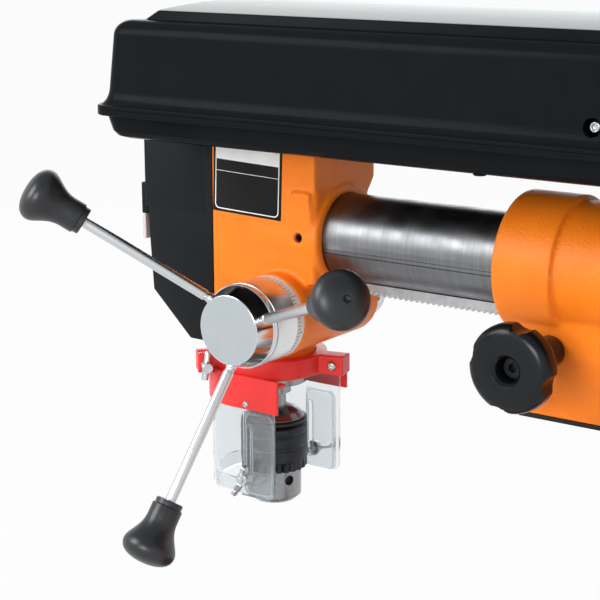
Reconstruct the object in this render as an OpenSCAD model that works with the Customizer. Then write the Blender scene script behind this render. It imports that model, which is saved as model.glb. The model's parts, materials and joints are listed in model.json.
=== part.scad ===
// Bench radial drill press: a tilting head on a ram that slides through a swivelling support.
// Millimetres, +Z up, the operator stands at -Y, the feed handles are at +X.
// The origin is on the bench, at the centre of the base's four bolt holes.

/* [Layout] */
// Height of the ram axis above the bench
ram_z = 680; // [640:5:740]
// Column axis behind the middle of the base
column_y = 115; // [105:1:125]
// Column axis behind the head's collar face at rest
reach = 275; // [268:1:290]
// Spindle axis in front of the head's collar face
spindle_out = 70; // [68:1:74]
// Table top above the bench at rest
table_z = 300; // [270:5:310]
// Table centre in front of the column axis
table_reach = 270; // [250:5:290]

/* [Base] */
// Width of the base casting
base_w = 280; // [270:5:320]
// Depth of the base casting
base_d = 460; // [450:5:500]
// Height of the base casting
base_h = 40; // [34:1:48]
// Thickness of the base's top plate
base_top = 12; // [9:1:15]
// Thickness of the base's skirt and ribs
base_wall = 9; // [7:0.5:12]
// Corner radius of the base
base_r = 30; // [24:1:36]
// Bolt hole spacing across the base
bench_hole_w = 230; // [225:1:236]
// Bolt hole spacing along the base
bench_hole_d = 410; // [400:1:416]
// Diameter of the bench bolt holes
bench_hole_bore = 11; // [9:0.5:13]
// Diameter of the bosses round the bench bolt holes
bench_boss_d = 32; // [28:1:38]
// Width of the clamping slots in the base
base_slot_w = 14; // [12:1:18]
// Length of the clamping slots in the base
base_slot_len = 160; // [120:5:180]
// Spacing of the two clamping slots in the base
base_slot_pitch = 120; // [100:5:140]

/* [Column] */
// Diameter of the column
column_d = 72; // [70:0.5:74]
// Wall thickness of the column tube
column_wall = 5; // [4:0.5:7]
// Diameter of the column flange
flange_d = 144; // [138:1:156]
// Thickness of the column flange
flange_t = 14; // [12:1:18]
// Height of the column socket on the flange
flange_h = 75; // [65:1:85]
// Outer diameter of the column socket on the flange
flange_socket_d = 98; // [94:1:102]
// Bolt circle of the column flange
flange_pcd = 120; // [117:0.5:122]
// Diameter of the flange bolts
flange_bolt_d = 10; // [8:0.5:11]

/* [Table] */
// Diameter of the round table
table_d = 250; // [230:5:270]
// Thickness of the table plate
table_t = 22; // [18:1:26]
// Width of the table's slots
table_slot_w = 14; // [12:1:16]
// Length of the table's slots
table_slot_len = 62; // [50:1:70]
// Diameter of the through hole in the middle of the table
table_hole_d = 24; // [18:1:28]
// Diameter of the table's post
table_post_d = 38; // [36:1:42]
// Height of the arm's collar on the column
arm_collar_h = 95; // [90:1:105]
// Outer diameter of the arm's collar
arm_collar_d = 106; // [102:1:112]
// Height of the clamp at the end of the table arm
arm_boss_h = 58; // [50:1:64]
// Outer diameter of the clamp at the end of the table arm
arm_boss_d = 66; // [62:1:72]
// Length of the crank arm
crank_len = 105; // [85:5:120]

/* [Support] */
// Gap between the head's collar and the ram sleeve at rest
sleeve_gap = 150; // [140:1:160]
// Length of the ram sleeve
sleeve_len = 220; // [205:1:230]
// Diameter of the sleeve's front ring
sleeve_d = 100; // [97:0.5:104]
// Diameter of the sleeve's main body
sleeve_body_d = 93; // [90:0.5:96]
// Length of the sleeve's front ring
sleeve_ring_len = 45; // [38:1:50]
// Width of the pinion block under the sleeve
block_w = 70; // [64:1:76]
// Depth of the pinion block's underside below the ram axis
block_drop = 99; // [90:1:108]
// Thickness of the plate under the pinion block
cover_t = 2.9; // [2:0.1:5]
// Outer diameter of the column socket of the support
socket_d = 100; // [96:1:106]
// Depth of the column socket's rim below the ram axis
socket_drop = 150; // [140:1:160]
// Depth of the column's top below the ram axis
column_drop = 56; // [53:1:62]
// Diameter of the ram knob
knob_d = 61; // [54:1:70]
// Thickness of the ram knob
knob_t = 21; // [19:1:26]
// Length of the ram knob's stem
knob_stem = 42; // [36:1:48]

/* [Ram] */
// Diameter of the ram tube
ram_d = 65; // [63:0.5:66]
// Wall thickness of the ram tube
ram_wall = 6; // [4:0.5:8]
// Length of the ram tube behind the collar face
ram_rear = 500; // [490:5:520]
// Length of the motor bracket's clamp on the ram
bracket_len = 45; // [40:1:52]
// Width of the ram's rack
rack_w = 14; // [12:0.5:16]
// Height of the ram's rack over its teeth
rack_h = 8.5; // [8:0.1:9]
// Tooth module of the ram's rack and of the feed pinion
tooth_m = 1.5; // [1.4:0.05:1.6]
// Teeth on the ram's pinion
ram_teeth = 16; // [14:1:17]

/* [Head] */
// Width of the head casting
head_w = 80; // [78:0.5:84]
// Height of the head's top face above the ram axis
head_top = 75.5; // [74:0.5:80]
// Depth of the head's underside below the ram axis
head_drop = 88; // [87:0.5:90]
// Diameter of the ram collar on the head
collar_d = 82; // [78:0.5:86]
// Diameter of the feed shaft's boss
feed_boss_d = 62; // [58:0.5:63]
// Reach of the feed shaft's boss to the right
feed_boss_right = 50; // [47:0.5:52]
// Reach of the feed shaft's boss to the left
feed_boss_left = 45; // [43:0.5:48]
// Diameter of the quill neck
neck_d = 66; // [64:0.5:68]
// Depth of the quill neck's end below the ram axis
neck_drop = 117; // [116:0.5:119]
// Diameter of the quill
quill_d = 52; // [50:0.5:54]
// Depth of the quill's end below the ram axis at rest
quill_drop = 123.5; // [122:0.5:126]
// Length of the quill
quill_len = 146; // [140:1:150]
// Quill travel
quill_stroke = 70; // [50:1:75]
// Teeth on the feed pinion
feed_teeth = 20; // [19:1:21]
// Diameter of the feed hub
hub_d = 54; // [50:0.5:58]
// Length of the feed hub
hub_len = 25; // [22:0.5:28]
// Diameter of the depth ring
depth_ring_d = 56.5; // [54:0.5:60]
// Length of the depth ring
depth_ring_len = 28; // [24:0.5:30]
// Diameter of the handle rods
handle_rod_d = 8; // [7:0.2:10]
// Radius from the feed axis to the centre of a handle's knob
handle_reach = 147; // [130:1:160]
// Outward tilt of the handle rods
handle_tilt = 31; // [24:1:34]
// Turn of the first handle at rest
handle_turn = 21; // [0:1:40]
// Diameter of the handle knobs
handle_knob_d = 40; // [38:0.5:44]

/* [Chuck] */
// Diameter of the chuck's sleeve
chuck_d = 53; // [50:0.5:54]
// Diameter of the chuck's nose
chuck_nose_d = 42.6; // [41:0.2:44]
// Length of the chuck
chuck_len = 76.5; // [75:0.5:79]
// Length of the chuck's sleeve
chuck_sleeve_len = 38; // [36:0.5:39]
// Length of the chuck's nose
chuck_nose_len = 27; // [24:0.5:28]
// Diameter gripped by the jaws at rest
grip_d = 13; // [12:0.2:14]
// Diameter of a jaw rod
jaw_d = 8; // [7:0.2:8.4]
// Lean of the jaw rods from the spindle axis
jaw_lean = 12; // [10:0.5:13]

/* [Guard] */
// Height of the guard's clamp ring
guard_ring_h = 15.5; // [12:0.5:16]
// Outer diameter of the guard's clamp ring
guard_ring_d = 84; // [80:0.5:88]
// Width of the clear shield, outside
shield_w = 90; // [86:1:94]
// Thickness of the clear shield
shield_t = 2; // [1.5:0.1:2.2]
// Depth of the shield's lower edge below the ram axis
shield_drop = 207; // [195:1:212]
// Height of the red holder
holder_h = 26; // [22:0.5:30]
// Length of the shield behind the spindle axis
shield_back = 33; // [28:0.5:38]
// Travel of the shield's lower slide
slide_travel = 38; // [30:1:40]

/* [Belt cover] */
// Width of the cover over its lips
lid_w = 236; // [228:1:244]
// Front of the cover ahead of the collar face
lid_front = 151; // [149:1:156]
// Rear of the cover behind the motor axis
lid_rear = 95; // [88:1:100]
// Corner radius of the cover, seen from above
lid_r = 18; // [15:1:24]
// Height of the tray with its lip
tray_h = 22; // [20:0.5:24]
// Height of the lid from its lip to its shoulder
lid_h = 64; // [62:0.5:70]
// Height of the raised panel over the lid's shoulder
panel_h = 6.5; // [4:0.5:9]
// Height of the panel's crown
crown_h = 4.5; // [2:0.5:6]
// Width of the lips
lip_w = 6.5; // [5:0.5:8]
// Thickness of the lips
lip_t = 2.6; // [2.2:0.1:3.4]
// Wall thickness of the cover
lid_wall = 2.4; // [1.8:0.1:2.8]

/* [Drive] */
// Motor axis behind the ram's end
motor_back = 80; // [78:1:86]
// Diameter of the motor
motor_d = 122; // [114:1:126]
// Length of the motor's ribbed housing
motor_len = 120; // [105:5:130]
// Diameter of the middle pulley step
pulley_d = 90; // [86:1:92]
// Change of diameter from one pulley step to the next
pulley_step = 14; // [12:1:15]
// Height of one pulley step
step_h = 13; // [12.5:0.1:13.4]
// Width of the belt at its back
belt_w = 10; // [8:0.5:10.4]
// Thickness of the belt
belt_t = 7; // [6:0.5:8]

/* [Switch] */
// Length of the switch box in front of the head's side
box_len = 67; // [62:1:72]
// Depth of the switch box's underside below the ram axis
box_drop = 89.5; // [86:0.5:92]
// Height of the sloped corner under the switch box
box_slope = 35; // [28:1:40]
// Travel of the buttons
button_travel = 2.5; // [1.5:0.5:3]

/* [Hidden] */

$fn = 64;
hull_fn = 32;

// Clearances
run_gap = 0.06;
loose_gap = 0.3;
eps = 0.5;

// Colours
orange = [0.96, 0.50, 0.13];
red = [0.90, 0.16, 0.15];
black = [0.11, 0.12, 0.13];
steel = [0.70, 0.71, 0.72];
chrome = [0.82, 0.83, 0.85];
iron = [0.45, 0.46, 0.47];
clear = [0.85, 0.90, 0.93, 0.35];

// Main places
collar_y = column_y - reach;
spindle_y = collar_y - spindle_out;
table_y = column_y - table_reach;
column_r = column_d / 2;
ram_r = ram_d / 2;

// Base and column heights
base_pad_h = 4;
column_foot = base_h + base_pad_h;
flange_top = column_foot + flange_h;
column_top = ram_z - column_drop;
socket_z = ram_z - socket_drop;

// Column rack
lift_m = 2;
lift_teeth = 12;
lift_r = lift_m * lift_teeth / 2;
lift_rack_w = 16;
lift_rack_t = 10;
lift_rack_back = column_r + loose_gap;
lift_tip = lift_rack_back + lift_rack_t;
lift_axis_y = column_y + lift_tip - 0.8 * lift_m + lift_r + 0.1;
rack_lip_r = sqrt(lift_tip * lift_tip + lift_rack_w * lift_rack_w / 4) + loose_gap;
rack_collar_h = 18;
rack_collar_z = socket_z - 16 - rack_collar_h;
rack_lip = 7;
rack_collar_lip_t = 4;

// Table and its arm
post_gap = loose_gap;
table_boss_h = 14;
arm_top = table_z - table_t - table_boss_h - post_gap;
arm_boss_z = arm_top - arm_boss_h;
arm_collar_z = arm_boss_z - 12;
arm_mid_z = arm_collar_z + arm_collar_h / 2;
crank_shaft_r = 8;
gearbox_w = 52;
gearbox_t = 34;
crank_x = 66;
clamp_slit = 3;
lever_r = 5;

// Ram rack and pinion
rack_top = ram_r + loose_gap;
rack_tip = rack_top + rack_h;
ram_pinion_r = tooth_m * ram_teeth / 2;
pinion_y = sleeve_gap + 41;
pinion_z = -(rack_tip - 0.8 * tooth_m) - ram_pinion_r;
ram_shaft_r = 6;
knob_x = block_w / 2 + loose_gap;
block_front = sleeve_gap + 18;

// Feed pinion, quill rack and feed axis, from the head's collar face
quill_r = quill_d / 2;
feed_face_w = 16;
feed_rack_tip = sqrt(quill_r * quill_r - feed_face_w * feed_face_w / 4);
feed_r = tooth_m * feed_teeth / 2;
feed_out = spindle_out - (feed_rack_tip - 0.8 * tooth_m + feed_r);
feed_drop = 56;
feed_shaft_r = 9;
hub_x = feed_boss_right + 1 + depth_ring_len + 1;
hub_seat_r = 16;
spring_cap_d = 48;
spring_cap_len = 20;

// Head
socket_depth = 38;
head_front = spindle_out + 28;
nose_r = 38;
head_rear = 28;
shoulder_z = 39.5;
pad_x = head_w / 2 + 3.5;
pad_top = 37;
bearing_r = 21;
bearing_t = 12;
sleeve_r = 10;
spline_r = 7;
sleeve_low = 46;
spindle_r = 8.5;

// Spindle nose and chuck
nose_collar_r = 13.5;
nose_collar_len = 9;
nose_neck_r = 9.5;
chuck_top = -(quill_drop + nose_collar_len + 12.5);
chuck_low = chuck_top - chuck_len;
chuck_sleeve_top = chuck_low + chuck_nose_len + chuck_sleeve_len;
chuck_core_r = chuck_nose_d / 2 - 0.8;
jaw_len = 30;
jaw_out = grip_d / 2 + 1.5;
jaw_apex = 5.2;
jaw_up = 8;

// Guard
guard_top = -(head_drop + 10);
guard_low = guard_top - guard_ring_h;
holder_t = 2.2;
holder_top = guard_low + 4;
holder_low = holder_top - holder_h;
shield_r = shield_w / 2;
shield_shift = 5;
wing_z = -shield_drop + 15;
wing_y = 11;
slot_w = 5;
slide_w = 28;

arm_turn = 14;
arm_end = 61;
lug_turn = 315;

// Belt cover
tray_z = head_top;
lip_z = tray_z + tray_h;
lid_z = lip_z + loose_gap;
shoulder_top = lid_z + lid_h;
motor_y = ram_rear + motor_back;
lid_len = lid_front + motor_y + lid_rear;
lid_mid = lid_len / 2 - lid_front;
shoulder_r = 12;
panel_inset = lip_w + 4.5 + shoulder_r + 1.5;
panel_ends = 9.5;
tray_lip_t = lip_t + 1.9;
crown_r = (lid_w / 2 - panel_inset) * (lid_w / 2 - panel_inset) / 2 / crown_h;
hinge_r = 4;
hinge_x = -(lid_w / 2 + hinge_r + 1);
hinge_spots = [90, 480];
hinge_len = 44;
lid_screw_y = 252;
lid_screw_z = lid_z + 14.5;

// Pulleys and belt
pulley_low = tray_z + 7;
pulley_h = 5 * step_h + 4;
belt_z = pulley_low + 2 + 2.5 * step_h;
groove_depth = belt_t + 1;
belt_r = pulley_d / 2 - 0.5;
motor_shaft_r = 8;

// Motor
bracket_front = ram_rear - bracket_len;
plate_t = 12;
plate_w = 110;
motor_top = tray_z - 14;
motor_low = motor_top - motor_len;
foot_gap = motor_back - plate_t;

// Shape helpers

module block(low, high) {
  translate(low) cube(high - low);
}

module rod_x(r, x0, x1, y, z) {
  translate([x0, y, z]) rotate([0, 90, 0]) cylinder(r = r, h = x1 - x0);
}

module rod_y(r, x, y0, y1, z) {
  translate([x, y1, z]) rotate([90, 0, 0]) cylinder(r = r, h = y1 - y0);
}

module rod_z(r, x, y, z0, z1) {
  translate([x, y, z0]) cylinder(r = r, h = z1 - z0);
}

module pipe_z(ro, ri, x, y, z0, z1) {
  difference() {
    rod_z(ro, x, y, z0, z1);
    rod_z(ri, x, y, z0 - eps, z1 + eps);
  }
}

// Rounded rectangle with true arcs
module rounded(w, d, r) {
  square([w - 2 * r, d], center = true);
  square([w, d - 2 * r], center = true);
  for (sx = [-1, 1], sy = [-1, 1]) translate([sx * (w / 2 - r), sy * (d / 2 - r)]) circle(r);
}

// A slot with round ends along Y
module slot_y(w, len) {
  square([w, len - w], center = true);
  for (s = [-1, 1]) translate([0, s * (len - w) / 2]) circle(w / 2);
}

// A side view, drawn as y and z, made w wide across X
module across_x(w) {
  rotate([90, 0, 90]) linear_extrude(w, center = true) children();
}

// Places from the head's collar face and the ram axis
module at_head() {
  translate([0, collar_y, ram_z]) children();
}

module at_spindle() {
  translate([0, spindle_y, ram_z]) children();
}

module at_feed() {
  translate([0, collar_y - feed_out, ram_z - feed_drop]) children();
}

// Gear wheel outline with one tooth along +x
module spur(m, teeth) {
  rp = m * teeth / 2;
  tip = rp + 0.8 * m;
  root = rp - 1.15 * m;
  tip_half = (0.64 * m * PI / 4 - 0.16) / rp * 180 / PI;
  root_half = (1.55 * m * PI / 4 - 0.1) / rp * 180 / PI;
  polygon([for (i = [0 : teeth - 1]) for (s = [[root, -root_half], [tip, -tip_half], [tip, tip_half], [root, root_half]])
    s[0] * [cos(i * 360 / teeth + s[1]), sin(i * 360 / teeth + s[1])]]);
}

// Rack outline along x from 0, with a gap centred on x = phase; tips at y = 0, back at y = -h
module toothed_bar(m, len, h, phase) {
  p = PI * m;
  tip_half = 0.64 * p / 4 - 0.16;
  root_half = 1.5 * p / 4 - 0.1;
  first = ceil((root_half - phase) / p - 0.5);
  last = floor((len - root_half - phase) / p - 0.5);
  polygon(concat(
    [[0, -h], [0, -1.95 * m]],
    [for (i = [first : last]) for (s = [[-root_half, -1.95 * m], [-tip_half, 0], [tip_half, 0], [root_half, -1.95 * m]])
      [phase + (i + 0.5) * p + s[0], s[1]]],
    [[len, -1.95 * m], [len, -h]]));
}

// A round bar along +z from 0 with a rounded far edge
module round_nosed(r, len, nose) {
  rotate_extrude() {
    square([r, len - nose]);
    square([r - nose, len]);
    translate([r - nose, len - nose]) circle(nose);
  }
}

// Lever with a round grip, its bolt along +x from the seat, its arm pointing down
module clamp_lever(bolt_r, bolt_len, hub_r, hub_len, arm_len) {
  rod_x(bolt_r, -bolt_len, 0, 0, 0);
  rod_x(hub_r, 0, hub_len, 0, 0);
  translate([hub_len / 2, 0, 0]) rotate([0, 168, 0]) {
    cylinder(r1 = lever_r, r2 = lever_r * 0.8, h = arm_len);
    translate([0, 0, arm_len]) sphere(lever_r * 1.6);
  }
}

// Ball bearing: two rings with a shielded middle
module bearing(ro, ri, z0, t) {
  race = (ro - ri) * 0.28;
  pipe_z(ro, ro - race, 0, 0, z0, z0 + t);
  pipe_z(ri + race, ri, 0, 0, z0, z0 + t);
  pipe_z(ro - race, ri + race, 0, 0, z0 + 1, z0 + t - 1);
}

// Stand

module base() {
  color(orange) difference() {
    union() {
      difference() {
        linear_extrude(base_h) rounded(base_w, base_d, base_r);
        translate([0, 0, -eps]) linear_extrude(base_h - base_top + eps)
          rounded(base_w - 2 * base_wall, base_d - 2 * base_wall, base_r - base_wall);
      }
      for (sx = [-1, 1], sy = [-1, 1])
        rod_z(bench_boss_d / 2, sx * bench_hole_w / 2, sy * bench_hole_d / 2, 0, base_h);
      rod_z(flange_d / 2 + 3, 0, column_y, base_h - base_top, column_foot);
      for (y = [column_y - flange_d / 2 - 6, -base_d / 2 + base_d * 0.16])
        block([-base_w / 2 + base_wall, y, 6], [base_w / 2 - base_wall, y + base_wall, base_h - base_top + eps]);
    }
    for (sx = [-1, 1], sy = [-1, 1])
      rod_z(bench_hole_bore / 2, sx * bench_hole_w / 2, sy * bench_hole_d / 2, -eps, base_h + eps);
    for (sx = [-1, 1]) translate([sx * base_slot_pitch / 2, base_slot_y(), base_h - base_top - eps])
      linear_extrude(base_top + 2 * eps) slot_y(base_slot_w, base_slot_len);
    flange_bolt_places() rod_z(flange_bolt_d / 2 + 0.5, 0, 0, base_h - base_top - eps, column_foot + eps);
  }
}

function base_slot_y() = (column_y - flange_d / 2 - 6 - base_d / 2 + base_d * 0.16 + base_wall) / 2;

module flange_bolt_places() {
  for (a = [45 : 90 : 315]) translate([flange_pcd / 2 * cos(a), column_y + flange_pcd / 2 * sin(a), 0]) children();
}

module column_flange() {
  fillet = (flange_pcd - flange_bolt_d * 2.4 - flange_socket_d) / 2;
  color(orange) difference() {
    translate([0, column_y, column_foot]) rotate_extrude() difference() {
      union() {
        translate([column_r, 0]) square([flange_d / 2 - column_r, flange_t]);
        translate([column_r, 0]) square([flange_socket_d / 2 - column_r, flange_h]);
        translate([flange_socket_d / 2, flange_t]) square(max(fillet, 1));
      }
      translate([flange_socket_d / 2 + max(fillet, 1), flange_t + max(fillet, 1)]) circle(max(fillet, 1));
    }
    flange_bolt_places() rod_z(flange_bolt_d / 2 + 0.5, 0, 0, column_foot - eps, column_foot + flange_t + eps);
  }
}

module flange_bolts() {
  head = flange_bolt_d * 0.64;
  color(steel) flange_bolt_places() {
    rod_z(flange_bolt_d / 2, 0, 0, base_h - base_top - 2, column_foot + flange_t + eps);
    translate([0, 0, column_foot + flange_t]) cylinder(d = flange_bolt_d * 1.85, h = head, $fn = 6);
    translate([0, 0, base_h - base_top - head]) cylinder(d = flange_bolt_d * 1.85, h = head, $fn = 6);
  }
}

module column() {
  color(steel) pipe_z(column_r, column_r - column_wall, 0, column_y, column_foot, column_top);
}

module rack_collar() {
  outer = rack_lip_r + rack_collar_lip_t;
  color(orange) difference() {
    rod_z(outer, 0, column_y, rack_collar_z - rack_lip, rack_collar_z + rack_collar_h);
    rod_z(column_r, 0, column_y, rack_collar_z - rack_lip - eps, rack_collar_z + rack_collar_h + eps);
    rod_z(rack_lip_r, 0, column_y, rack_collar_z - rack_lip - eps, rack_collar_z);
  }
}

module column_rack() {
  low = flange_top + loose_gap;
  high = rack_collar_z - loose_gap;
  color(steel) difference() {
    translate([0, column_y + lift_tip, low]) across_x(lift_rack_w) rotate(90) mirror([0, 1, 0])
      toothed_bar(lift_m, high - low, lift_rack_t + 6, arm_mid_z - low);
    rod_z(lift_rack_back, 0, column_y, low - eps, high + eps);
  }
}

// Table and its arm

module table_arm() {
  half = arm_collar_d / 2;
  ear_x = half + 22;
  boss_r = arm_boss_d / 2;
  color(orange) difference() {
    union() {
      rod_z(half, 0, column_y, arm_collar_z, arm_collar_z + arm_collar_h);
      rod_z(boss_r, 0, table_y, arm_boss_z, arm_top);
      block([-ear_x, column_y - 15, arm_mid_z - 20], [-column_r, column_y + 15, arm_mid_z + 20]);
      block([-ear_x + 8, table_y - 14, arm_boss_z + 12], [-table_post_d / 2, table_y + 14, arm_top - 12]);
      translate([0, 0, arm_boss_z + 10]) linear_extrude(12)
        polygon([[-half * 0.9, column_y], [half * 0.9, column_y], [boss_r * 0.9, table_y], [-boss_r * 0.9, table_y]]);
      across_x(16) polygon([[column_y - half + 6, arm_collar_z], [column_y - half + 6, arm_collar_z + arm_collar_h - 12],
        [table_y + boss_r - 6, arm_top - 8], [table_y + boss_r - 6, arm_boss_z]]);
      block([-gearbox_w / 2, column_y + column_r + 2, arm_mid_z - 26],
        [gearbox_w / 2, lift_axis_y + gearbox_t / 2, arm_mid_z + 26]);
    }
    rod_z(column_r + run_gap, 0, column_y, arm_collar_z - eps, arm_collar_z + arm_collar_h + eps);
    rod_z(table_post_d / 2 + run_gap, 0, table_y, arm_boss_z - eps, arm_top + eps);
    block([-ear_x - 1, column_y - clamp_slit / 2, arm_collar_z - eps],
      [-column_r + 2, column_y + clamp_slit / 2, arm_collar_z + arm_collar_h + eps]);
    block([-ear_x, table_y - clamp_slit / 2, arm_boss_z - eps],
      [-table_post_d / 2 + 2, table_y + clamp_slit / 2, arm_top + eps]);
    block([-lift_rack_w / 2 - loose_gap, column_y, arm_collar_z - eps],
      [lift_rack_w / 2 + loose_gap, column_y + lift_tip + loose_gap, arm_collar_z + arm_collar_h + eps]);
    rod_x(lift_r + 0.8 * lift_m + loose_gap, -10, 10, lift_axis_y, arm_mid_z);
    rod_x(crank_shaft_r + run_gap, -gearbox_w / 2 - eps, gearbox_w / 2 + eps, lift_axis_y, arm_mid_z);
    rod_y(lever_r + run_gap, -half - 11, column_y - 16, column_y + 16, arm_mid_z);
    rod_y(lever_r + run_gap, -half - 3, table_y - 15, table_y + 15, (arm_boss_z + arm_top) / 2);
  }
}

module table_crank() {
  arm_w = 18;
  color(steel) translate([0, lift_axis_y, arm_mid_z]) {
    rod_x(crank_shaft_r, -gearbox_w / 2 + 2, crank_x + 10, 0, 0);
    across_x(18) rotate(180) spur(lift_m, lift_teeth);
    rod_x(13, crank_x - 2, crank_x + 10, 0, 0);
    translate([crank_x, 0, 0]) rotate([0, 90, 0]) linear_extrude(8) {
      translate([0, -arm_w / 2]) square([crank_len, arm_w]);
      translate([crank_len, 0]) circle(arm_w / 2);
    }
    rod_x(4, crank_x + 4, crank_x + 88, 0, -crank_len);
    rod_x(6.5, crank_x + 84, crank_x + 88, 0, -crank_len);
  }
}

module crank_grip() {
  color(black) translate([crank_x + 8 + loose_gap, lift_axis_y, arm_mid_z - crank_len]) rotate([0, 90, 0])
    rotate_extrude() difference() {
      translate([4 + run_gap, 0]) square([8.5, 76 - 2 * loose_gap]);
      translate([72, 38]) circle(62);
    }
}

module table_lock() {
  color(black) translate([-arm_collar_d / 2 - 11, column_y - 15 - loose_gap, arm_mid_z]) rotate([0, 0, -90])
    clamp_lever(lever_r, 33, 10, 16, 62);
}

module table() {
  color(iron) translate([0, table_y, table_z]) difference() {
    union() {
      translate([0, 0, -table_t]) rotate_extrude() {
        translate([0, table_t - 12]) square([table_d / 2, 12]);
        translate([table_d / 2 - 10, 0]) square([10, table_t]);
        square([34, table_t]);
      }
      for (a = [45 : 90 : 315]) rotate(a) block([30, -4, -table_t + 3], [table_d / 2 - 6, 4, -6]);
      rod_z(30, 0, 0, -table_t - table_boss_h, -table_t + eps);
      rod_z(table_post_d / 2, 0, 0, -table_t - table_boss_h - arm_boss_h - 4, -table_t);
    }
    rod_z(table_hole_d / 2, 0, 0, -table_t - table_boss_h - arm_boss_h - 5, eps);
    for (a = [0 : 90 : 270]) rotate(a) translate([0, table_slot_mid(), -13])
      linear_extrude(14) slot_y(table_slot_w, table_slot_len);
  }
}

function table_slot_mid() = table_d / 2 - 16 - table_slot_len / 2;

module table_clamp() {
  color(black) translate([-arm_collar_d / 2 - 3, table_y - 14 - loose_gap, (arm_boss_z + arm_top) / 2]) rotate([0, 0, -90])
    clamp_lever(lever_r, 31, 9, 14, 48);
}

// Support

module support() {
  half = sleeve_body_d / 2;
  socket_r = socket_d / 2;
  sleeve_end = sleeve_gap + sleeve_len;
  color(orange) at_head() difference() {
    union() {
      translate([0, sleeve_gap + sleeve_ring_len, 0]) rotate([90, 0, 0]) round_nosed(sleeve_d / 2, sleeve_ring_len, 4);
      rod_y(half, 0, sleeve_gap + 10, sleeve_end - 10, 0);
      translate([0, sleeve_end - 14, 0]) rotate([-90, 0, 0]) round_nosed(sleeve_d / 2, 14, 3);
      block([-block_w / 2, block_front, -block_drop], [block_w / 2, reach, 0]);
      rod_z(socket_r, 0, reach, -socket_drop, 0);
      rod_z(socket_r + 4, 0, reach, -socket_drop, -socket_drop + 14);
      rod_x(14, -half - 8, -half + 12, reach + 55, 0);
      rod_x(13, -socket_r - 10, -socket_r + 12, reach, -socket_drop + 32);
    }
    rod_y(ram_r + run_gap, 0, sleeve_gap - eps, sleeve_end + eps, 0);
    block([-rack_w / 2 - loose_gap, sleeve_gap - eps, -rack_tip - loose_gap],
      [rack_w / 2 + loose_gap, sleeve_end + eps, 0]);
    rod_z(column_r + run_gap, 0, reach, -socket_drop - eps, -column_drop + 2);
    rod_x(ram_pinion_r + 0.8 * tooth_m + loose_gap, -9, 9, pinion_y, pinion_z);
    rod_x(ram_shaft_r + run_gap, -block_w / 2 + 6, block_w / 2 + eps, pinion_y, pinion_z);
    rod_x(lever_r + run_gap, -half - 9, -ram_r - 3, reach + 55, 0);
    rod_x(lever_r + run_gap, -socket_r - 11, -column_r - 2, reach, -socket_drop + 32);
  }
}

module pinion_cover() {
  color(black) at_head() difference() {
    block([-block_w / 2, block_front, -block_drop - cover_t], [block_w / 2, reach - 36, -block_drop]);
    rod_z(socket_d / 2 + 0.1, 0, reach, -block_drop - cover_t - eps, -block_drop + eps);
  }
}

module ram_pinion() {
  color(steel) at_head() translate([0, pinion_y, pinion_z]) difference() {
    union() {
      across_x(16) rotate(90) spur(tooth_m, ram_teeth);
      rod_x(ram_shaft_r, -block_w / 2 + 7, knob_x + knob_stem - 4, 0, 0);
    }
    rod_x(2.5, knob_x + knob_stem - 14, knob_x + knob_stem, 0, 0);
  }
}

module ram_knob() {
  edge = 8;
  rim = knob_d / 2;
  color(black) at_head() translate([knob_x, pinion_y, pinion_z]) difference() {
    rotate([0, 90, 0]) union() {
      rotate_extrude() {
        square([11, knob_stem + 4]);
        translate([0, knob_stem + 3]) square([rim - edge, knob_t - 3]);
        translate([0, knob_stem + edge]) square([rim, knob_t - 2 * edge]);
        for (z = [edge, knob_t - edge]) translate([rim - edge, knob_stem + z]) circle(edge);
      }
    }
    for (a = [77 : 90 : 347]) rod_x(9, knob_stem - eps, knob_stem + knob_t + eps, (rim + 5) * cos(a), (rim + 5) * sin(a));
    rod_x(ram_shaft_r, -eps, knob_stem - 4, 0, 0);
    rod_x(2.5, knob_stem - 5, knob_stem + 6, 0, 0);
    rod_x(9, knob_stem + 4, knob_stem + knob_t + eps, 0, 0);
  }
}

module knob_screw() {
  color(steel) at_head() translate([knob_x + knob_stem, pinion_y, pinion_z]) difference() {
    union() {
      rod_x(2.5, -14, 5, 0, 0);
      rod_x(6.5, 4, 11, 0, 0);
    }
    translate([7, 0, 0]) rotate([0, 90, 0]) cylinder(r = 3.5, h = 6, $fn = 6);
  }
}

module ram_lock() {
  color(black) at_head() translate([-sleeve_body_d / 2 - 8 - loose_gap, reach + 55, 0]) mirror([1, 0, 0])
    clamp_lever(lever_r, 17, 9, 14, 46);
}

module swivel_lock() {
  color(black) at_head() translate([-socket_d / 2 - 10 - loose_gap, reach, -socket_drop + 32]) mirror([1, 0, 0])
    clamp_lever(lever_r, 20, 9, 14, 56);
}

// Ram

module ram_rack() {
  low = loose_gap;
  high = bracket_front - loose_gap;
  color(steel) at_head() translate([0, low, -rack_tip]) across_x(rack_w) mirror([0, 1])
    toothed_bar(tooth_m, high - low, rack_h, pinion_y - low);
}

module ram_tube() {
  color(steel) at_head() difference() {
    rod_y(ram_r, 0, -socket_depth, ram_rear, 0);
    rod_y(ram_r - ram_wall, 0, -socket_depth - eps, ram_rear + eps, 0);
  }
}

// Head

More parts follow.
